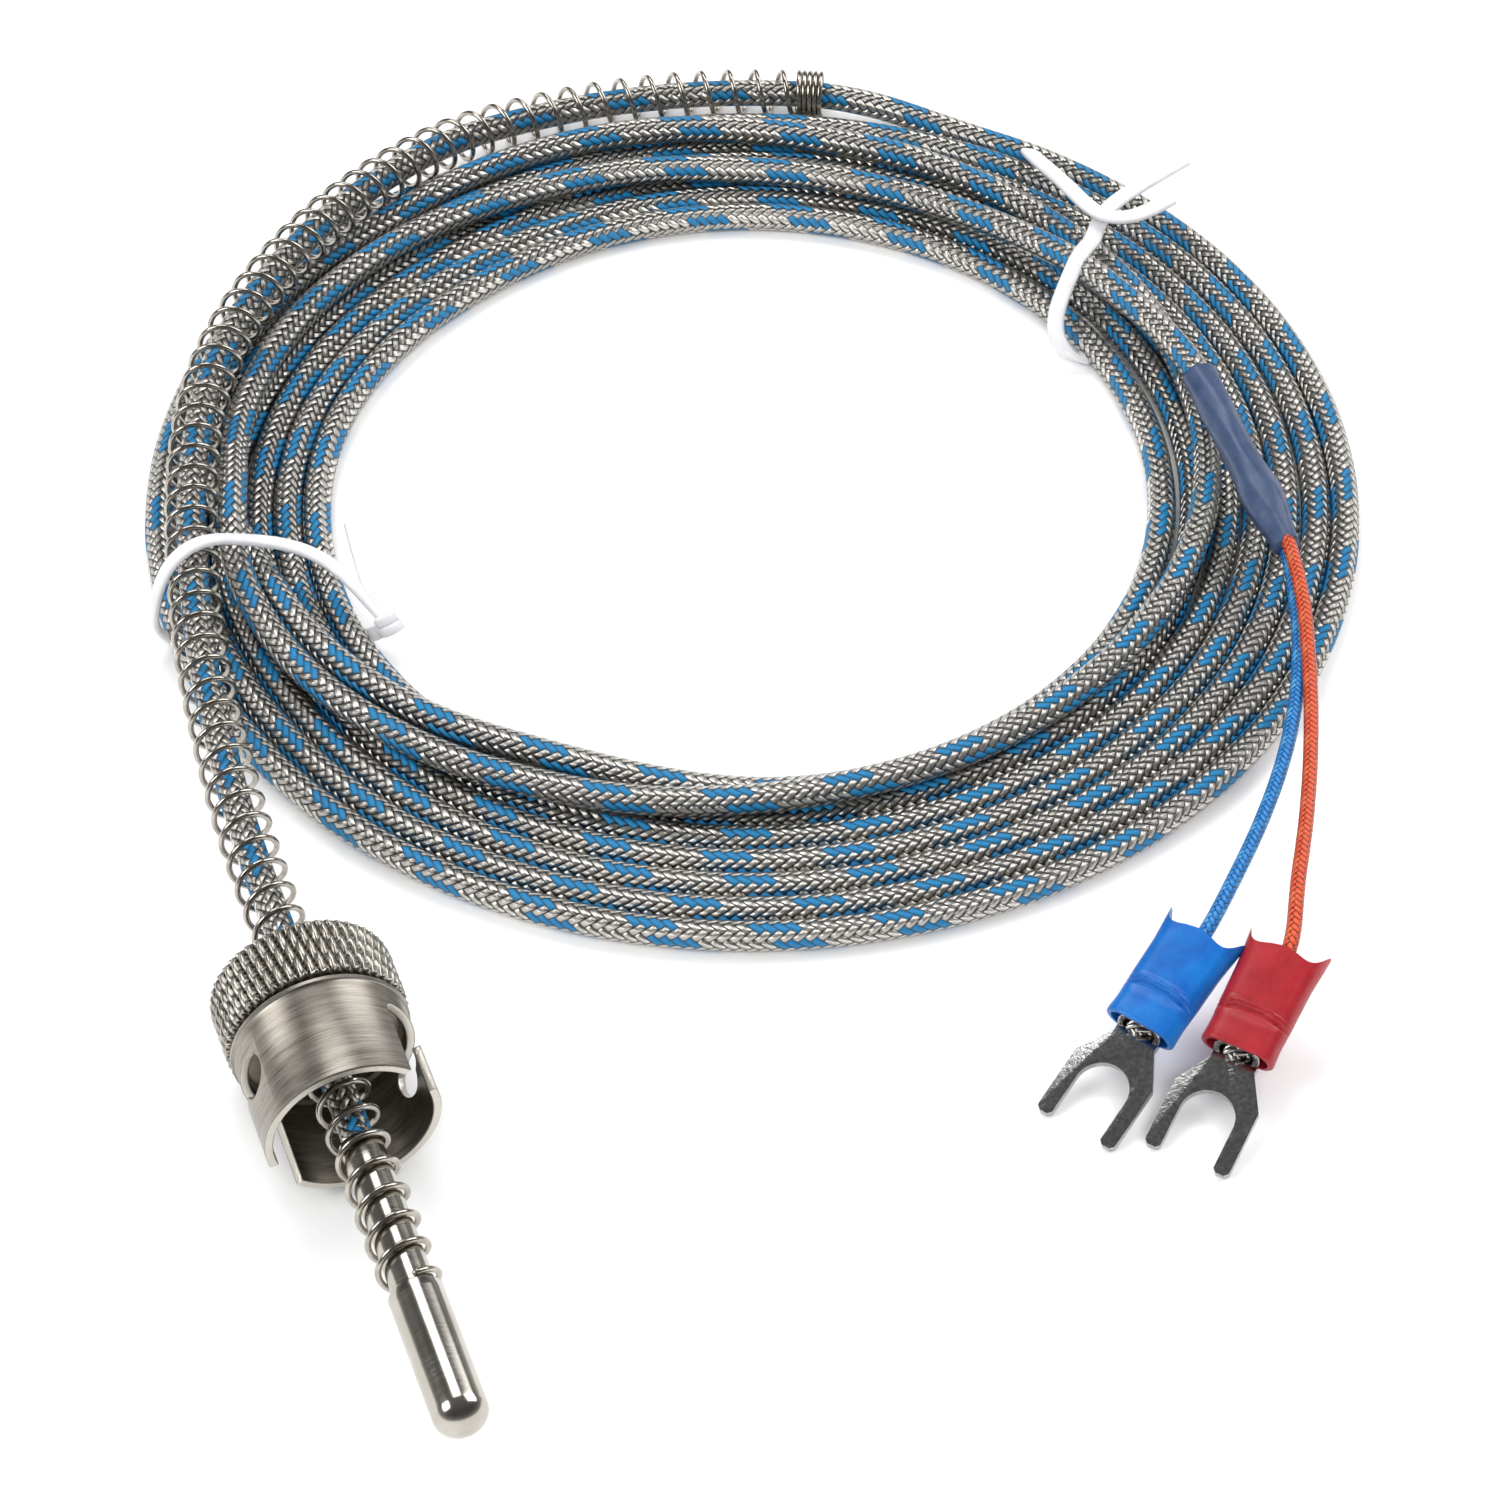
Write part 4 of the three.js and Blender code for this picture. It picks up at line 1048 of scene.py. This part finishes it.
def sleeve_ring(x):
    """The outer ring of a sleeve at x: its waists, its widening and its rolled front lip."""
    from_front = x - SLEEVE_FRONT_X
    t = from_front / SLEEVE_LENGTH
    width = 7.3 - 0.2 * bell(from_front, 2.0, 1.2) + 0.4 * max(0, t - 0.45)
    width += 0.55 * (max(0, t - 0.7) / 0.3) ** 2
    height = 3.75 - 0.35 * bell(from_front, SLEEVE_CREASE - 0.2, 0.5) + 0.25 * max(0, t - 0.5)
    height -= 0.12 * bell(from_front, 2.2, 1.1)
    roll = 0.3 if from_front == 0 else (0.08 if from_front < 0.1 else 0)
    middle = BARREL_HEIGHT / 2
    points = []
    for y, z in stadium_ring(width - roll, height - roll, middle, 64):
        side = y / 4
        dent = crimp_dent(x, side, z > middle)
        points.append((x + rear_flare(side, t), y, z - math.copysign(dent, z - middle)))
    return points


def sleeve_bore(x):
    t = (x - SLEEVE_FRONT_X) / SLEEVE_LENGTH
    width = 6.2 + 0.6 * max(0, t - 0.5) + 7 * max(0, t - 0.9)
    ring = stadium_ring(width, 3.05 + 0.2 * t, BARREL_HEIGHT / 2, 64)
    return [(x + rear_flare(y / 4, t), y, z) for y, z in ring]


def terminal_sleeve(colour, place, material):
    """A vinyl sleeve: a rolled front lip, a band, a crimp crease and a flared, uneven wire end."""
    front, end = SLEEVE_FRONT_X, TERMINAL_LENGTH
    xs = [front, front + 0.08, front + 0.25, *np.linspace(front + 0.6, end, 90)]
    rings = [sleeve_ring(x) for x in xs]
    rings += [sleeve_bore(x) for x in (end, end - 1.5, end - 4, front + 0.5, front)]
    sleeve = loft(f"{colour}_sleeve", rings)
    smooth_by_angle(sleeve, 50)
    return finish_on_terminal(sleeve, place, material, f"{colour}_terminal_sleeve")


STRANDS_SHOWN = 7


def terminal_strands(colour, place):
    """The bare strands, twisted and ending unevenly in the barrel's mouth."""
    meshes = []
    middle = BARREL_HEIGHT / 2
    for number in range(STRANDS_SHOWN):
        end = BARREL_FRONT_X + 0.55 + 0.35 * math.sin(5 * number)
        x = np.linspace(LEAD_END_X - 0.4, end, 40)
        turn = 2 * math.pi * number / STRANDS_SHOWN + 1.7 * x
        points = np.stack([x, 1.1 * np.cos(turn), middle + 0.40 * np.sin(turn)], axis=1)
        meshes.append(sweep_wire(f"strand_{number}", resample(points, 0.15), 0.21))
    strands = join_objects(f"{colour}_strands", meshes)
    node = f"{colour}_conductor_strands"
    return finish_on_terminal(strands, place, STRANDS, node)


def make_terminal(colour, place, vinyl_material):
    return [
        terminal_fork(colour, place),
        terminal_sleeve(colour, place, vinyl_material),
        terminal_strands(colour, place),
    ]


red_end = make_terminal("red", RED_PLACE, RED_VINYL)
blue_end = make_terminal("blue", BLUE_PLACE, BLUE_VINYL)


# ---- Ties
TIE_THICKNESS = 0.85
TIE_REST = 0.62  # from a tie's middle to what it lies on
TIE_HALF_REACH = 1.7
COIL_MIDDLE_R, COIL_MIDDLE_Z = 53.3, 1.6


def flat_strip(name, points, width, outward):
    """A strip with rounded edges along points; outward gives its flat side's direction at each."""
    along = directions(points)
    face = unit(outward - along * np.sum(outward * along, axis=1, keepdims=True))
    c, s = circle(20).T
    across = np.sign(c) * np.abs(c) ** 0.55 * width / 2
    thick = np.sign(s) * np.abs(s) ** 0.8 * TIE_THICKNESS / 2
    scale = np.ones(len(points))
    scale[[0, -1]] = 0.8
    ring = np.stack([across, thick], axis=1)
    made = capped(name, rings_along(points, ring, np.cross(along, face), face, scale))
    smooth_by_angle(made, 60)
    return made


def outward_of_coil(points):
    """The direction away from the middle of the coil's section at each point."""
    flat = points[:, :2] - COIL_CENTRE
    radius = np.linalg.norm(flat, axis=1, keepdims=True)
    sideways = np.clip(((radius - COIL_MIDDLE_R) / 10) ** 5, -1.4, 1.4)
    return unit(np.column_stack([flat / radius * sideways, points[:, 2] - COIL_MIDDLE_Z]))


def strip_over_coil(name, route, width):
    """A strip along a route, lifted clear of the cable wherever it runs over the coil."""
    points = resample(smooth_route(route), 0.3)
    for point in points:
        near = np.linalg.norm(CABLE[:, :2] - point[:2], axis=1) < TIE_HALF_REACH
        if near.any() and point[2] > 2 * CABLE_R:
            point[2] = max(point[2], CABLE[near, 2].max() + CABLE_R + TIE_REST)
    points = soften(points, 6)
    points[:, 2] = np.maximum(points[:, 2], TIE_REST)
    return flat_strip(name, points, width, outward_of_coil(points))


def knot_wrap(name, knot, axis):
    """A turn and a half of the tie wound round its own crossing."""
    axis = unit(np.array(axis))
    first = unit(np.cross(axis, (0, 0, 1.0)))
    t = np.linspace(0, 3 * np.pi, 60)[:, None]
    around = np.cos(t) * first + np.sin(t) * np.cross(first, axis)
    points = np.array(knot) + 0.95 * around + axis * (t / (2 * np.pi) - 0.75) * 1.1
    return flat_strip(name, points, 1.2, around)


def finish_tie(made, node):
    finish(made, TIE)
    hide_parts(node)


def make_left_tie():
    knot = (22.1, 73, 3.2)
    loop = [
        knot, (21.2, 73.8, 1.2), (19, 74.7, 0.62), (12, 77, 0.62), (4, 79.6, 0.62),
        (0.6, 80.5, 1.2), (-0.5, 80.6, 3.6), (0.1, 80.6, 6.6), (1.0, 80.9, 9.4), (2.5, 81.4, 11.2),
        (4.5, 82, 12), (6.6, 82.7, 11.6), (8.6, 83.4, 10.3), (11, 84, 8.8), (14.6, 83.4, 7.6),
        (17.8, 80.8, 6.9), (20, 77, 5.7), knot,
    ]
    tail = resample(smooth_route([knot, (21.3, 77, 5.6), (21.4, 80.6, 6.4), (21.9, 85.5, 6.2)]), 0.3)
    finish_tie(join_objects("left_tie", [
        strip_over_coil("left_tie", loop, 1.5),
        flat_strip("left_tie_tail", tail, 1.35, np.array([[0.1, -0.45, 0.9]])),
        knot_wrap("left_tie_knot", knot, (0.4, -0.6, -0.7)),
    ]), "tie_left")


def make_right_tie():
    """One strip: a tail, the hook of the knot, round the coil, up through the hook, the other tail."""
    route = [
        (121.6, 101.1, 9.6), (117.5, 99.7, 9.6), (114.6, 99.3, 9.5), (112.7, 100.3, 9.6),
        (111.9, 102.4, 9.4), (111.7, 105, 9), (111.6, 108, 8.4), (111.5, 113, 7), (111.5, 117.5, 5.6),
        (112.5, 121.2, 3.2), (113.4, 121.9, 1.2), (112.9, 118, 0.62), (110.5, 104, 0.62),
        (107.2, 88.9, 0.72), (104.3, 88.2, 1.2), (102.9, 89.6, 2.6), (103.1, 91.4, 4.2), (104.4, 93.2, 5.7),
        (107.1, 95.6, 6.9), (110.2, 98.2, 7.6), (112, 100.8, 7.9), (113.3, 102.5, 8.4),
        (116, 103.5, 9), (120.6, 105, 9.4), (125.9, 107, 9.4),
    ]
    finish_tie(strip_over_coil("right_tie", route, 1.9), "tie_right")


make_left_tie()
make_right_tie()


# ---- Pieces inside the probe keep their CAD shapes
def dress_inner_nodes():
    ceramic = inner_stuff("ceramic_powder", (0.78, 0.75, 0.70), (0.90, 0.88, 0.84), 0.0, 0.80, 1800.0)
    glass = inner_stuff("glass_fibre_sleeving", (0.80, 0.77, 0.68), (0.92, 0.90, 0.84), 0.0, 0.62, 2600.0)
    alloy = inner_stuff("thermocouple_alloy", (0.46, 0.43, 0.40), (0.66, 0.63, 0.59), 1.0, 0.28, 2200.0)
    end = inner_stuff("cut_braid", (0.40, 0.38, 0.35), (0.74, 0.72, 0.67), 0.9, 0.36, 3800.0)
    for material, nodes in (
        (ceramic, ["ceramic_fill"]),
        (glass, ["insulation_positive", "insulation_negative"]),
        (alloy, ["hot_junction", "conductor_positive", "conductor_negative"]),
        (end, ["cable_end_in_probe"]),
    ):
        for obj in (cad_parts[node] for node in nodes):
            if not obj.material_slots:
                obj.data.materials.append(None)
            for slot in obj.material_slots:
                slot.link = "OBJECT"
                slot.material = material


dress_inner_nodes()


# ---- Floor and light
def make_stage():
    size = 3000
    corners = [(-size, -size, 0), (size, -size, 0), (size, size, 0), (-size, size, 0)]
    floor = add_object("floor", corners, [[0, 1, 2, 3]])
    floor.location.z = -0.00002
    n = Nodes("floor")
    n.set(Base_Color=(0.93, 0.93, 0.93), Roughness=0.9, Specular_IOR_Level=0.1)
    floor.data.materials.append(n.material)


def area_light(name, place, target, size, power, reflected):
    data = bpy.data.lights.new(name, "AREA")
    data.shape, data.size, data.size_y = "RECTANGLE", size[0], size[1]
    data.energy = power
    lamp = link(name, data)
    lamp.location = place
    lamp.visible_glossy = reflected
    lamp.rotation_euler = (Vector(target) - Vector(place)).to_track_quat("-Z", "Y").to_euler()


def make_light():
    """Pale near the horizon and dark overhead, three soft lamps that the metal reflects, and two more
    that only light the floor and the shaded sides."""
    world = bpy.data.worlds.new("studio")
    world.use_nodes = True
    tree = world.node_tree
    background = tree.nodes["Background"]
    where, height, ramp = (
        tree.nodes.new("ShaderNode" + kind) for kind in ("TexCoord", "SeparateXYZ", "ValToRGB")
    )
    tree.links.new(where.outputs["Generated"], height.inputs[0])
    tree.links.new(height.outputs["Z"], ramp.inputs[0])
    tree.links.new(ramp.outputs[0], background.inputs[0])
    stops = ramp.color_ramp
    stops.elements[0].color, stops.elements[1].color = (0.50, 0.49, 0.47, 1), (0.17, 0.17, 0.17, 1)
    for position, level in ((0.18, 0.22), (0.40, 0.10), (0.70, 0.11), (0.90, 0.15)):
        stop = stops.elements.new(position)
        stop.color = (level, level, level, 1)
    background.inputs[1].default_value = 1.0
    bpy.context.scene.world = world
    lamps = (
        ("lamp_back", 90, 50, (0.60, 0.80), 5.5, True),
        ("lamp_behind", 100, 58, (1.20, 0.80), 5.5, False),
        ("lamp_left", 174, 38, (0.80, 0.60), 8.5, True),
        ("lamp_right", 14, 42, (0.95, 0.90), 9.5, True),
        ("lamp_front", -95, 46, (1.30, 0.80), 12.0, False),
    )
    middle, away = np.array([0.05, 0.06, 0]), 1.3
    for name, compass, height, size, power, reflected in lamps:
        a, e = math.radians(compass), math.radians(height)
        place = middle + away * np.array([math.cos(a) * math.cos(e), math.sin(a) * math.cos(e), math.sin(e)])
        area_light(name, place, middle, size, power, reflected)


make_stage()
make_light()
bpy.context.scene.view_settings.view_transform = "Standard"
